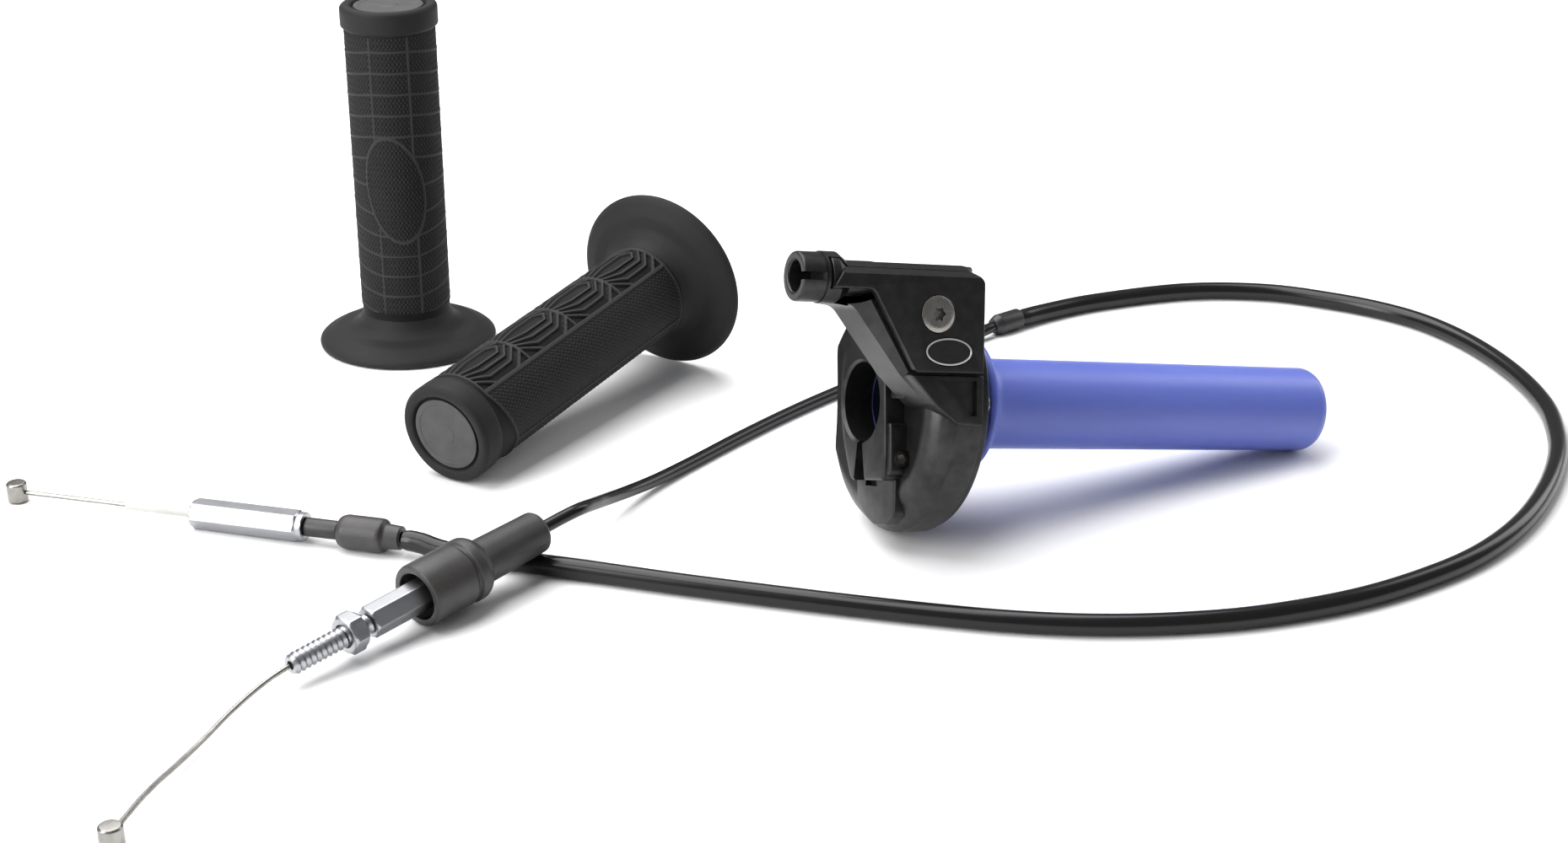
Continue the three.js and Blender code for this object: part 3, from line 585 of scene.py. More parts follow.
def behind_drum(inwards):
    """What lies behind the drum's three flat back faces, moved inwards by a distance."""
    cutters = []
    for y, z, turn in BACK_FACES:
        cutter = block((-15, -inwards, -45), (45, 30 - inwards, 45))
        cutter.data.transform(Matrix.Translation((0, y, z)) @ Matrix.Rotation(turn, 4, "X"))
        cutters.append(cutter)
    return cutters


def ring_profile(low, high, inner, outer):
    return [(low, inner, 0), (low, outer, 0), (high, outer, 0), (high, inner, 0)]


def drum_cup():
    profile = [
        (6.5, 12), (5.6, 24, 3), (5, 29, 2), (5.6, 31.5, 1.5), (7.2, 34, 1), (9.4, 36, 0.6),
        (RIM_FRONT, RIM_RADIUS, 0.4), (RIM_BACK, RIM_RADIUS, 0.4), (RIM_BACK, CAVITY_RADIUS, 0.3),
        (CLAMP_LENGTH, CAVITY_RADIUS, 0.6), (CLAMP_LENGTH, 12),
    ]
    back = turned("back", ring_profile(7, RIM_BACK, CAVITY_RADIUS - 9, CAVITY_RADIUS + 1), 192)
    return worked(turned("housing", profile, 192), [back], behind_drum(0), soften=0)


def drum_cavity():
    round_room = cylinder(CLAMP_LENGTH, RIM_BACK + 1, CAVITY_RADIUS, about_y=False, segments=128)
    return worked(round_room, cut=behind_drum(BACK_WALL), soften=0)


def cable_guide():
    """The plate behind the cover. Its left side slopes back from the cover's long slanted edge."""
    back = [
        (-24.6, 37.8, 1.0), (-24.6, 26.6, 1.0), (-19.4, 26, 2.0), (-4.8, 7.5, 1.0), (4, -0.9, 1.0),
        (10.7, -5.8, 1.0), (RIM_BACK - 0.2, -6.4, 0.5), (RIM_BACK - 0.2, 34.6, 1.5),
        (15.6, 37.8, 3.0),
    ]
    front = [
        (-24.2, 36.2, 1.0), (-24.4, 29.9, 0.4), (-16.6, 29.7, 1.4), (-3.2, 7.9, 0.6), (4, -0.9, 1.0),
        (10.7, -5.8, 1.0), (RIM_BACK - 0.6, -6.2, 0.5), (RIM_BACK - 0.6, 33.4, 1.5),
        (15.4, 36.2, 3.0),
    ]
    outer = rounded(back, closed=True, steps=5)
    inner = rounded(front, closed=True, steps=5)
    return slab("guide", "y", [(BODY_FRONT, inner), (-32.4, outer), (-19.3, outer)])


def housing_body():
    skirt = plate(
        "skirt", "y", COVER_FACE + 0.6, COVER_FACE + 5.6,
        [(-4.0, 7.6), (4, -0.9), (10.7, -5.8), (RIM_BACK - 0.2, -6.4), (RIM_BACK - 0.2, 7.6)],
        edge=0.7, corner=0.6,
    )
    shoulder = plate(
        "shoulder", "x", CLAMP_LENGTH, RIM_BACK - 0.2,
        [(-21, 4), (-8, 30), (-8, 36.2), (-10, 37.8), (-30, 37.8), (-30, 4)], corner=1.5,
    )
    cradle = turned("cradle", [(-27.6, 0), (-27.6, 7.4, 0.5), (-14, 7.4, 0), (-14, 0)], 64)
    cradle = worked(moved(cradle, **INLET), cut=[block((-29, -42, 33.2), (-12, -18, 45))], soften=0)
    clamp = plate(
        "clamp", "x", 0, CLAMP_LENGTH,
        [
            (6.4, 23.5, 3), (-4, 24.5, 3), (-11.5, 19.5, 3), (-14, 12, 4), (-14.8, 0, 3),
            (-15.5, -16, 2), (-14.5, -22, 1.5), (5.6, -22.5, 2), (11.4, -10, 6), (13, 2, 6),
            (11.6, 14, 6),
        ],
        edge=0.8,
    )
    web = plate(
        "web", "x", 1.2, 9.2, [(-24, 1), (-16, 1), (-16, 27), (-24, 27)], edge=0.4, corner=0.5
    )
    boss = plate(
        "boss", "x", 0.8, CLAMP_LENGTH, [(-10, -5), (-17, -6), (-17.6, -20), (-10, -21.5)], edge=0.6,
        corner=1.2,
    )
    foot = plate(
        "foot", "x", 4, 8,
        [(9.2, -20), (-14, -20), (-14, -32), (-9, -35), (-1, -35), (4, -32.4), (9, -28)],
        edge=0.8, corner=1.6,
    )
    slit = prism("x", -1, CLAMP_LENGTH - 3.4, [(1, -9), (-1, -9), (-3.6, -24), (3.6, -24)])
    bore = [
        (-1, 0), (-1, CLAMP_BORE + 1.6, 0), (0.8, CLAMP_BORE, 0), (CLAMP_LENGTH + 1, CLAMP_BORE, 0),
        (CLAMP_LENGTH + 1, 0),
    ]
    cover_outline = [(-28.2, 40), (-28.2, 29.9), (-15.9, 29.9), (-2.8, 7.9), (20, 7.9), (20, 40)]
    panel = [(4.6, 6.2), (14.6, -3.4), (16.6, -3.4), (16.6, 6.2)]
    cuts = [
        drum_cavity(),
        turned("cutter", bore, 96),
        slit,
        moved(cylinder(-16.9, -11.2, 3.1), **PINCH_BOLT),
        moved(cylinder(-12, 10.6, 2.3), **PINCH_BOLT),
        moved(cylinder(-20, -16.8, 2.6), **PINCH_BOLT),
        moved(cylinder(-35.2, -26.2, 10.7, segments=96), **ROLLER),
        moved(cylinder(-30, -21.4, 2.8), **ROLLER),
        block((-14, -32, 31.2), (5, -28, 35.2)),
        block((10, -31.5, 6), (15, -25.5, 28)),
        inlet_room(),
        prism("y", COVER_FACE - 2, COVER_FACE + 3.3, cover_outline),
        prism("y", COVER_FACE, COVER_FACE + 1.9, panel),
    ]
    for at in CAP_SCREWS:
        hole = cylinder(10.6, RIM_BACK + 1, 1.7, about_y=False, segments=24)
        cuts.append(moved(hole, **at))
    parts = [cable_guide(), skirt, shoulder, cradle, clamp, web, boss, foot]
    keep(worked(drum_cup(), parts, cuts), THROTTLE, "housing", "black_anodised", "housing_body")


def housing_cover():
    outline = [
        (-24.2, 36, 1.0), (-27.6, 30.4, 0.8), (-15.7, 30.2, 1.6), (-2.6, 8.2, 1.0),
        (RIM_BACK - 0.6, 8.2, 0.6), (RIM_BACK - 0.6, 33.4, 1.0), (15.6, 36, 3.0),
    ]
    cover = plate("cover", "y", COVER_FACE, COVER_FACE + 3, outline, edge=0.45)
    top = [
        (COVER_FACE - 1, 33.6), (COVER_FACE - 1, 38), (COVER_FACE + 3.5, 38), (COVER_FACE + 3.2, 36.4),
    ]
    slope = prism("x", -30, RIM_BACK + 1, top)
    seat = [
        (COVER_FACE - 1, 0), (COVER_FACE - 1, 6.3, 0), (COVER_FACE + 2.5, 2.9, 0),
        (COVER_FACE + 4, 2.9, 0), (COVER_FACE + 4, 0),
    ]
    seat = moved(turned("cutter", seat, 96, about_y=True), **ROLLER)
    angle = 2 * np.pi * np.arange(72) / 72
    oval = np.column_stack([BADGE["x"] + 7.4 * np.cos(angle), BADGE["z"] + 4.0 * np.sin(angle)])
    badge_seat = prism("y", COVER_FACE - 1, COVER_FACE + 0.7, oval)
    cover = worked(cover, cut=[slope, seat, badge_seat, inlet_room()], soften=0.18)
    keep(cover, THROTTLE, "housing", "black_anodised", "housing_cover")


def cover_badge():
    """A plain oval plate with a raised light rim, through rings of half width, half height, level and
    how light the ring is."""
    angle = 2 * np.pi * np.arange(96) / 96
    rings = []
    tones = []
    for wide, high, level, light in (
        (6.72725, 3.35035, 0.4, 1), (7.1, 3.7, 0.3, 1), (7.1, 3.7, 0, 1),
        (6.94025, 3.55015, -0.1, 1), (6.72725, 3.35035, -0.1, 1), (6.5675, 3.2005, 0.12, 0),
        (3.55, 1.85, 0.1, 0), (0.355, 0.185, 0.1, 0),
    ):
        x = BADGE["x"] + wide * np.cos(angle)
        z = BADGE["z"] + high * np.sin(angle)
        rings.append(np.column_stack([x, np.full(96, COVER_FACE + level), z]))
        tones.append(np.full(96, light))
    badge = skinned("badge", np.array(rings))
    shade(badge)
    note(badge, "relief", np.concatenate(tones))
    keep(badge, THROTTLE, "housing", "badge", "cover_badge")


def pivot_screw():
    face = COVER_FACE - 0.5
    profile = [
        (face, 0), (face, 3.9, 0.6), (face + 0.5, 5.1, 0.15), (COVER_FACE + 2.4, 2.5, 0.3),
        (-21.8, 2.5, 0.4), (-21.8, 0),
    ]
    screw = turned("pivot_screw", profile, 96, about_y=True)
    socket = prism("y", face - 0.5, COVER_FACE + 1.4, star(2.1, 1.5))
    screw = moved(worked(screw, cut=[socket], soften=0.08), **ROLLER)
    keep(screw, THROTTLE, "housing", "stainless", "roller_pivot_screw")


def inside_the_cover():
    """The roller that turns the cable, its bush and its washer."""
    radius = 9.8
    roller = [
        (-33.3, 4.7), (-33.3, radius), (-32.6, radius), (-30.9, radius - 1.7, 0.9),
        (-29.3, radius - 1.7, 0.9), (-27.6, radius), (-26.9, radius), (-26.9, 4.7),
    ]
    bush = [(-34.3, 2.8), (-34.3, 4.4), (-26.5, 4.4), (-26.5, 2.8)]
    washer = [(-34.3, 4.7), (-34.3, 7), (-33.6, 7), (-33.6, 4.7)]
    for name, node, profile, body, slot in (
        ("roller", "guide_roller", roller, "roller", "white_nylon"),
        ("bush", "roller_bush", bush, "housing", "bronze"),
        ("washer", "roller_washer", washer, "housing", "stainless"),
    ):
        ring = moved(turned(name, profile, 96, about_y=True), **ROLLER)
        keep(ring, THROTTLE, body, slot, node)


def inlet_ferrule():
    end = -36.0
    profile = [
        (end, 4.7, 0.3), (end, 6.5, 0.4), (end + 0.6, 6.8, 0.3), (-28.8, 6.8, 0.3), (-28.3, 6.0, 0.2),
        (-27.6, 6.0, 0.2), (-27.2, 6.9, 0.3), (-24.8, 6.9, 0.3), (-21.6, 4.6, 0.4),
        (-13.4, 4.6, 0.3), (-13.4, 2.4), (-21, 2.4), (-22, 4.2), (end + 0.5, 4.2, 0.3),
    ]
    barrel = turned("inlet_ferrule", profile, 96)
    slot = block((end - 1, -9, -1.1), (-29.3, -4, 1.1))
    barrel = moved(worked(barrel, cut=[slot], soften=0.15), **INLET)
    keep(barrel, THROTTLE, "housing", "black_anodised", "cable_inlet_ferrule")


def rear_cap():
    profile = [
        (RIM_BACK + GAP, 0), (RIM_BACK + GAP, 36.1), (21, 36.1, 0.5), (21.4, 35.7, 0.3),
        (21.4, 30.4, 1.5), (CAP_BACK - 1, 21, 1.2), (CAP_BACK, 20, 0.5), (CAP_BACK, 0),
    ]
    room = [(19, 0), (19, 30.6, 0), (19.3, 30.6, 0), (21, 28.6, 1), (25.6, 20.4, 1), (25.6, 0)]
    room = worked(turned("cutter", room, 160), cut=behind_drum(BACK_WALL + 0.9), soften=0)
    seats = [
        *behind_drum(0.9),
        room,
        cylinder(25, 27.6, 14.2, about_y=False, segments=96),
        cylinder(27.6, 31, 16.8, about_y=False, segments=96),
    ]
    seat = [(19, 0), (19, 1.7, 0), (19.9, 1.7, 0), (21.5, 3.1, 0), (26, 3.1, 0), (26, 0)]
    for i, at in enumerate(CAP_SCREWS):
        seats.append(moved(turned("cutter", seat, 48), **at))
        screw = turned(
            "cap_screw_" + str(i + 1),
            [(11, 0), (11, 1.35), (20.1, 1.35), (21.3, 2.6, 0.1), (21.5, 2.6, 0.1), (21.5, 0)],
            48,
        )
        socket = prism("x", 20.5, 23, star(1.3, 0.95))
        screw = moved(worked(screw, cut=[socket], soften=0.05), **at)
        keep(screw, THROTTLE, "housing", "stainless", "rear_cap_screw_" + str(i + 1))
    cap = worked(turned("cap", profile, 160), cut=seats, soften=0.15)
    keep(cap, THROTTLE, "housing", "black_anodised", "rear_cap")
    seal = [(27.9, TUBE_RADIUS + GAP), (27.9, 16.5), (29.7, 16.5), (29.7, TUBE_RADIUS + GAP)]
    keep(turned("dust_seal", seal), THROTTLE, "housing", "boot_rubber", "dust_seal")


def pinch_bolt():
    profile = [
        (-16.2, 0), (-16.2, 2.8, 0.4), (-12.3, 2.8, 0.1), (-12.3, 2, 0.1), (10.2, 2, 0.4), (10.2, 0),
    ]
    bolt = turned("pinch_bolt", profile, 64, about_y=True)
    angle = np.pi / 3 * np.arange(6)
    hexagon = np.column_stack([1.5 * np.cos(angle), 1.5 * np.sin(angle)])
    socket = prism("y", -17, -14.4, hexagon)
    bolt = moved(worked(bolt, cut=[socket], soften=0.06), **PINCH_BOLT)
    keep(bolt, THROTTLE, "housing", "stainless", "clamp_pinch_bolt")


def twist_tube():
    """The tube. Its inside counts as relief, so that painted shade darkens the material there."""
    profile = [
        (9.8, TUBE_BORE), (9.8, 14.4), (16.2, 14.4, 0.5), (16.2, 23), (18.6, 23),
        (18.6, TUBE_RADIUS, 0.8), (FLANGE_FRONT, TUBE_RADIUS, 0.5),
        (FLANGE_FRONT, FLANGE_RADIUS - 0.8, 0.3),
        (FLANGE_FRONT + 0.8, FLANGE_RADIUS, 0.4), (FLANGE_FRONT + 1.8, FLANGE_RADIUS, 0.5),
        (FLANGE_FRONT + 5.6, TUBE_RADIUS + 0.4, 1.6), (FLANGE_FRONT + 7.4, TUBE_RADIUS, 2),
        (TUBE_END - 3, 12.8, 0.8), (TUBE_END - 0.9, 11.9, 0.9), (TUBE_END, 9.8, 0.8),
        (TUBE_END, 3, 0.2), (TUBE_END - 2.4, 3, 0.2), (TUBE_END - 2.4, TUBE_BORE, 0.5),
    ]
    tube = turned("tube", profile, 160)
    places = np.array([vertex.co for vertex in tube.data.vertices])
    reach = np.hypot(places[:, 1], places[:, 2])
    # The bore's inside is marked for painted shade, not for a real colour.
    inside = (reach < TUBE_BORE + 0.1) & (places[:, 0] < TUBE_END - 2)
    note(tube, "relief", inside)
    keep(tube, THROTTLE, "twist_tube", "blue_nylon", "throttle_tube")


def cable_reel():
    """The reel has its full radius only where the cable winds on to it."""
    front, back, bore, hub, rim = REEL.values()
    groove = rim - 1.6
    profile = [
        (front, bore), (front, rim), (front + 0.8, rim), (front + 1.6, groove, 0.6),
        (back - 2.2, groove, 0.6), (back - 1.4, rim), (back, rim), (back, bore),
    ]
    sector = turned("sector", profile, 128)
    away = []
    for turn in (0.6, math.pi - 1.4):
        cutter = block((2, -40, -40), (22, 40, 0))
        cutter.data.transform(Matrix.Rotation(turn, 4, "X"))
        away.append(cutter)
    cuts = [
        moved(cylinder(9, 13.8, 3.2, about_y=False), y=-12, z=22.6),
        moved(cylinder(9, 17, 3.4, about_y=False), y=-22.4, z=3),
    ]
    profile = [(9.3, 0), (9.3, 2.2), (9.5, 2.4), (9.5, 1.3), (15.9, 1.3), (15.9, 0)]
    for i, y in enumerate((REEL_SCREW_CIRCLE, -REEL_SCREW_CIRCLE)):
        name = "reel_screw_" + str(i + 1)
        cuts.append(moved(cylinder(9, 17, 1.6, about_y=False, segments=24), y=y))
        keep(moved(turned(name, profile, 32), y=y), THROTTLE, "twist_tube", "stainless", name)
    hub = turned("reel", ring_profile(front, back, bore, hub), 128)
    reel = worked(hub, [worked(sector, cut=away, soften=0)], cuts, soften=0.15)
    keep(reel, THROTTLE, "twist_tube", "black_nylon", "cable_reel")


# ---------------------------------------------------------------- grips
GRIP_LENGTH = 118.0
HUB = GRIP_LENGTH - 11.8
COLLAR = 7.0
GRIP_COLUMNS = 355
KNURLS_AROUND = 71
KNURL_LENGTH = 2.0


def rib(distance, width):
    """1 on a rib's flat top and 0 past its foot, from the distance to its middle line."""
    return np.clip((width / 2 + 0.15 - np.abs(distance)) / 0.3, 0, 1)


def knurl(along, angle):
    u = KNURLS_AROUND * angle / (2 * np.pi)
    v = along / KNURL_LENGTH
    a = np.abs((u + v) % 1 - 0.5)
    b = np.abs((u - v) % 1 - 0.5)
    return np.clip(1 - 2 * np.maximum(a, b), 0, 1)


def turn_from(angle, centre, every=360.0):
    """The signed turn in degrees from the nearest of the directions that repeat from centre."""
    return (np.degrees(angle) - centre + every / 2) % every - every / 2


def left_pattern(along, angle, radius):
    """Ribs that wrap the barrel, framed by two long ribs and an oval on each side."""
    per_degree = math.pi / 180 * radius
    panel = turn_from(angle, 198.1, 180)
    ribs = rib((np.abs(panel) - 24.4) * per_degree, 0.8)
    share = np.clip((90 - np.abs(panel)) / 65, 0, 1)
    for i in range(13):
        outer = 15.5 + 7.1 * i
        t = np.clip((outer - 50) / 16, 0, 1)
        drop = 2.4 - 6.0 * t * t * (3 - 2 * t)
        ribs = np.maximum(ribs, rib(along - outer + drop * share, 0.8))
    across = turn_from(angle, 199.6, 180) * per_degree
    down = along - 60
    lean = math.radians(9)
    a = down * math.cos(lean) - across * math.sin(lean)
    b = down * math.sin(lean) + across * math.cos(lean)
    oval = np.hypot(a / 18.2, b / 9.7)
    ribs = np.where(oval < 1, 0, ribs)
    ribs = np.maximum(ribs, rib((oval - 1) * 9.7 * np.sqrt(np.maximum(oval, 0.2)) * 1.2, 0.9))
    smooth = along > 103.5
    diamonds = knurl(along, angle) * ~smooth
    return np.where(smooth, 0, ribs), diamonds, np.zeros_like(ribs)


BRACKETS = [
    [(0, 15), (8, 30), (19.5, 29), (25.5, 14), (26, 1)],
    [(0, 9), (8.6, 19), (19.8, 19), (24.6, 6)],
    [(0, 3), (9, 9), (20, 9), (23, 0)],
    [(0, 22), (8.5, 42)],
    [(19.5, 42), (26, 24), (26.4, 8)],
    [(0, 0), (0, 48)],
]
SEGMENT = 26.0


def right_pattern(along, angle, radius):
    """A band of nested brackets between two border ribs, repeated four times along the barrel."""
    per_degree = math.pi / 180 * radius
    off = np.abs(turn_from(angle, 87)) + 0 * along
    shrink = 24.2 / SEGMENT
    s = ((along - 8.5) / shrink) % SEGMENT
    inside = (along > 9.0) & (along < 105.5)
    ribs = np.zeros_like(off)
    for line in BRACKETS:
        for (s0, o0), (s1, o1) in zip(line, line[1:]):
            for shift in (-SEGMENT, 0, SEGMENT):
                ax, ay = (s - s0 - shift) * shrink, (off - o0) * per_degree
                bx, by = (s1 - s0) * shrink, (o1 - o0) * per_degree
                t = np.clip((ax * bx + ay * by) / (bx * bx + by * by), 0, 1)
                ribs = np.maximum(ribs, rib(np.hypot(ax - t * bx, ay - t * by), 1.0))
    band = off < 42
    ribs = np.where(band & inside, ribs, 0)
    ribs = np.maximum(ribs, rib((off - 42) * per_degree, 1.3) * inside)
    ribs = np.maximum(ribs, rib((off - 116) * per_degree, 1.0) * (along > 16) * (along < 105))
    slant = 9.5 + 6.5 * np.clip((off - 47) / 66, 0, 1)
    ribs = np.maximum(ribs, rib(along - slant, 1.0))
    ribs = np.maximum(ribs, rib(along - 105, 1.0))
    plain = (band & inside) | (along < slant) | (along > 104.6)
    return ribs, knurl(along, angle) * ~plain, (band & inside).astype(float)


def grip(side, matrix, barrel, bore, pattern, rib_height):
    profile = [
        (1.6, 0), (1.6, 11.9, 0.3), (0.3, 12.5, 0.3), (0, 13.5, 0.5), (0, 15, 0.5), (1, 16, 0.7),
        (COLLAR, 16, 0.5), (COLLAR + 1, barrel, 0.3),
        *[(x, barrel, 0) for x in np.arange(COLLAR + 1.3, HUB, KNURL_LENGTH / 7)],
        (HUB, barrel, 0.1), (GRIP_LENGTH - 8.4, barrel + 1.6, 1.5),
        (GRIP_LENGTH - 6.4, barrel + 4.4, 1.0), (GRIP_LENGTH - 5.6, 24, 0.8),
        (GRIP_LENGTH - 3.4, 28.6, 0.9), (GRIP_LENGTH - 2, 30, 0.7),
        (GRIP_LENGTH - 0.6, 29.8, 0.5), (GRIP_LENGTH, 28.8, 0.5), (GRIP_LENGTH, bore + 1.4, 0.4),
        (GRIP_LENGTH - 1.4, bore, 0.4), (4.4, bore, 0.3), (4.4, 0),
    ]
    tones = []

    def relief(along, angle, radius):
        patterned = (along > COLLAR + 1.2) & (along < HUB) & (np.abs(radius - barrel) < 0.01)
        ribs, diamonds, sunk = pattern(along, angle, barrel)
        height = np.maximum(ribs * rib_height, diamonds * 0.34) - 0.3 * sunk * (1 - ribs)
        smooth_rubber = np.where((along > HUB + 1) & (radius > barrel), 0.5, 0.45)
        # Rib and knurl tops are painted lighter than the hollows between them: partly dust and wear,
        # partly painted highlight where they face the light.
        tone = np.where(patterned, np.maximum(ribs, 0.9 * diamonds), smooth_rubber)
        tones.append(tone.ravel())
        return np.where(patterned, height, 0)

    obj = turned(side + "_rubber_grip", profile, GRIP_COLUMNS, relief=relief)
    note(obj, "relief", tones[0])
    keep(obj, matrix, side + "_hand_grip", "grip_rubber", side + "_grip")
    profile = [
        (0.6, 0), (0.6, 3, 0.1), (0.75, 3.2, 0.1), (0.75, 9.6, 0.1), (0.6, 9.8, 0.1), (0.6, 11.4, 0.2),
        (1.3, 11.4), (1.3, 0),
    ]
    inlay = turned(side + "_inlay", profile, 128)
    keep(inlay, matrix, side + "_hand_grip", "grey_inlay", side + "_grip_end_inlay")


# ---------------------------------------------------------------- cable fittings
THREAD_PITCH = 1.75  # drawn coarser than on an M6 screw, so that it shows at this size
THREAD_DEPTH = 0.6


def threaded(name, low, high, radius, bore):
    """A bored screw with a helical thread."""
    rows = [(x, radius, 0) for x in np.arange(low + 0.7, high - 0.1, 0.125)]
    profile = [(low, radius - 0.7, 0.1), *rows, (high, radius, 0), (high, bore), (low, bore)]

    def relief(along, angle, reach):
        turn = along / THREAD_PITCH - angle / (2 * np.pi)
        groove = np.abs((turn % 1) - 0.5) * 2
        return np.where(reach > radius - 0.01, -THREAD_DEPTH * groove, 0) + 0 * along

    return turned(name, profile, 48, relief=relief)


def carb_end_fittings():
    bore = CONDUIT_DIAMETER / 2 + GAP
    boot = [
        (0, 6.6, 0.5), (0, 8.5, 0.5), (0.8, 8.9, 0.5), (14.6, 8.9, 0.5), (15.2, 8.2, 0.3),
        (15.9, 8.2, 0.3), (16.4, 9.1, 0.4), (19.2, 9.1, 0.8), (21, 8, 0.8), (21.8, 6.4, 0.8),
        (44.2, 6, 0.6), (45, 5.4, 0.3), (45, bore), (26, bore), (26, 5.2), (20, 5.2), (18, 7.2),
        (2, 7.2, 0.5),
    ]
    hex_body = [
        (-17, bore, 0.2), (-17, 3.9, 0.1), (-16.3, 4.62, 0.1), (8.3, 4.62, 0.1), (9, 3.9, 0.1),
        (9, bore, 0.2),
    ]
    locknut = [
        (-25.3, 3.3, 0.1), (-25.3, 4.7, 0.2), (-24.5, 5.78, 0.2), (-21.1, 5.78, 0.2),
        (-20.3, 4.7, 0.2), (-20.3, 3.3, 0.1),
    ]
    boot = turned("carb_boot", boot, 128)
    hex_body = turned("carb_hex", hex_body, 96, limit=hexagonal(8))
    screw = threaded("carb_screw", -43, -17.3, 3.0, 1.2)
    locknut = turned("carb_locknut", locknut, 96, limit=hexagonal(10))
    return [
        keep(boot, CARB_END, "boot", "boot_rubber", "adjuster_boot"),
        keep(hex_body, CARB_END, "housing", "zinc_plate", "adjuster_hex_body"),
        keep(screw, CARB_END, "housing", "zinc_plate", "adjuster_screw"),
        keep(locknut, CARB_END, "locknut", "zinc_plate", "adjuster_locknut"),
    ]


def nipple(name, matrix, at, body, node):
    """A barrel nipple with a vertical axis."""
    profile = [(-3, 0), (-3, 2.5, 0.1), (-2.6, 3, 0.3), (2.6, 3, 0.3), (3, 2.5, 0.1), (3, 0)]
    barrel = turned(name, profile, 64)
    barrel.data.transform(Matrix.Translation(at) @ Matrix.Rotation(-math.pi / 2, 4, "Y"))
    return keep(barrel, matrix, body, "stainless", node)


def throttle_end_fittings():
    boot = [
        (0.4, 1.8), (0.4, 3.4), (5, 3.7, 0.8), (5.6, 4.8, 0.4), (6.6, 5, 0.4), (17.4, 5, 1),
        (19, 4.4, 0.6), (19.6, 3.4, 0.3), (19.6, 1.8),
    ]
    ferrule = [(19.9, 1.1), (19.9, 2.75), (30, 2.75, 0.3), (30, 2.2), (44, 2.2), (44, 1.1)]
    adjuster = [
        (30.3, 2.6), (30.3, 4.1, 0.3), (32.0, 4.1, 0.2), (32.2, 3.9, 0.1), (32.9, 4.62, 0.1),
        (65.3, 4.62, 0.1), (66, 3.9, 0.2), (66, 1.8), (52.5, 1.8), (52.5, 2.6),
    ]
    liner = [(58, 1.05, 0.05), (58, 1.45, 0.1), (88, 1.45, 0.1), (88, 1.05, 0.05)]
    boot = turned("throttle_end_boot", boot)
    ferrule = turned("throttle_end_ferrule", ferrule)
    adjuster = turned("throttle_end_adjuster", adjuster, 96, limit=hexagonal(8))
    liner = turned("throttle_end_liner", liner, 48)
    return [
        keep(boot, THROTTLE_END, "housing", "boot_rubber", "sleeve_boot"),
        keep(ferrule, THROTTLE_END, "housing", "black_nylon", "sleeve_ferrule"),
        keep(adjuster, THROTTLE_END, "adjuster", "zinc_plate", "cable_adjuster"),
        keep(liner, THROTTLE_END, "housing", "white_nylon", "cable_liner"),
        nipple("throttle_end_nipple", THROTTLE_END, (125, 0, 0), "inner_wire", "throttle_nipple"),
    ]


def step_ferrule():
    """The stepped black ferrule between the thick sleeve and the thin conduit."""
    heading = math.radians(196)
    length = 12
    ahead = (math.cos(heading), math.sin(heading), 0)
    at = frame_along("sleeve_step_ferrule", ahead, length / 2)
    profile = [(0, 1.4), (0, 3.6, 0.4), (9.6, 3.6, 0.3), (length, 2.5, 0.3), (length, 1.4)]
    ferrule = turned("sleeve_ferrule_step", profile, 64)
    return keep(ferrule, at, "housing", "black_nylon", "sleeve_step_ferrule")


def carb_nipple():
    at = Matrix.Translation(middle("carb_nipple")) @ Matrix.Scale(MM, 4)
    return nipple("carb_end_nipple", at, (0, 0, 0), "housing", "carb_nipple")


# ---------------------------------------------------------------- light and floor
def area_light(name, at, towards, size, watts, colour=(1, 1, 1)):
    data = bpy.data.lights.new(name, "AREA")
    data.shape = "RECTANGLE"
    data.size, data.size_y = size
    data.energy = watts
    data.color = colour
    light = bpy.data.objects.new(name, data)
    light.location = at
    light.rotation_euler = (Vector(towards) - Vector(at)).to_track_quat("-Z", "Y").to_euler()
    SCENE.collection.objects.link(light)


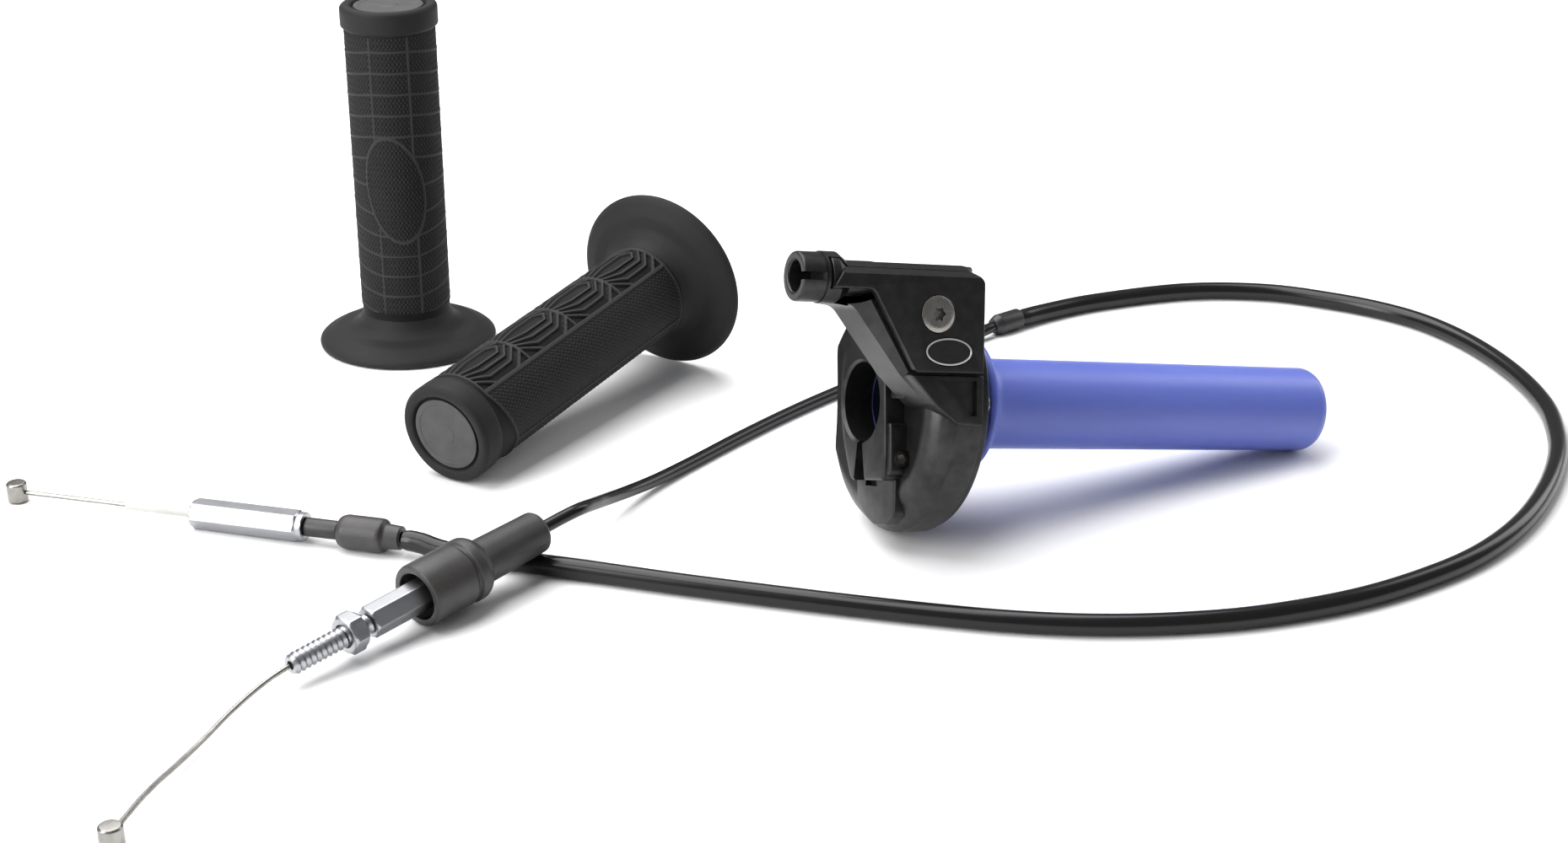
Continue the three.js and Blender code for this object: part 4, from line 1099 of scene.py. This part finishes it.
def studio():
    world = bpy.data.worlds.new("studio")
    world.use_nodes = True
    world.node_tree.nodes["Background"].inputs["Color"].default_value = (0.24, 0.24, 0.245, 1)
    SCENE.world = world
    area_light("overhead", (-0.25, 0.35, 1.1), (0, 0, 0), (1.6, 1.2), 29)
    area_light("left", (-1.1, -0.25, 0.5), (0, -0.05, 0.04), (0.5, 0.9), 12)
    area_light("right", (1.1, 0.1, 0.6), (0.1, -0.05, 0.04), (0.5, 0.9), 4)
    SCENE.view_settings.view_transform = "Standard"


def floor():
    count = 41
    span = np.linspace(-2, 2, count)
    x, y = np.meshgrid(span, span, indexing="ij")
    verts = np.column_stack([x.ravel(), y.ravel(), np.zeros(count * count)])
    index = np.arange(count * count).reshape(count, count)
    quads = np.stack([index[:-1, :-1], index[1:, :-1], index[1:, 1:], index[:-1, 1:]], axis=-1)
    mesh = bpy.data.meshes.new("floor")
    mesh.from_pydata(verts.tolist(), [], quads.reshape(-1, 4).tolist())
    obj = bpy.data.objects.new("floor", mesh)
    SCENE.collection.objects.link(obj)
    material = bpy.data.materials.new("floor")
    material.use_nodes = True
    tree = material.node_tree
    noise = add(tree, "ShaderNodeTexNoise", Scale=30.0)
    colour = ramp(tree, noise.outputs["Fac"], 0.3, 0.7, grey(0.88), grey(0.90))
    shader = tree.nodes["Principled BSDF"]
    tree.links.new(colour, shader.inputs["Base Color"])
    shader.inputs["Roughness"].default_value = 0.9
    shader.inputs["Specular IOR Level"].default_value = 0.1
    obj.data.materials.append(material)


# ---------------------------------------------------------------- the whole kit
housing_body()
housing_cover()
cover_badge()
pivot_screw()
inside_the_cover()
inlet_ferrule()
rear_cap()
pinch_bolt()
twist_tube()
cable_reel()
grip("left", LEFT_GRIP, 14.75, 11.0, left_pattern, 0.35)
grip("right", RIGHT_GRIP, 15.4, 13.1, right_pattern, 0.5)

carb_boot, carb_hex, carb_screw, carb_locknut = carb_end_fittings()
end_boot, end_ferrule, end_adjuster, end_liner, end_nipple = throttle_end_fittings()
step = step_ferrule()
wire_end = carb_nipple()

studio()
floor()
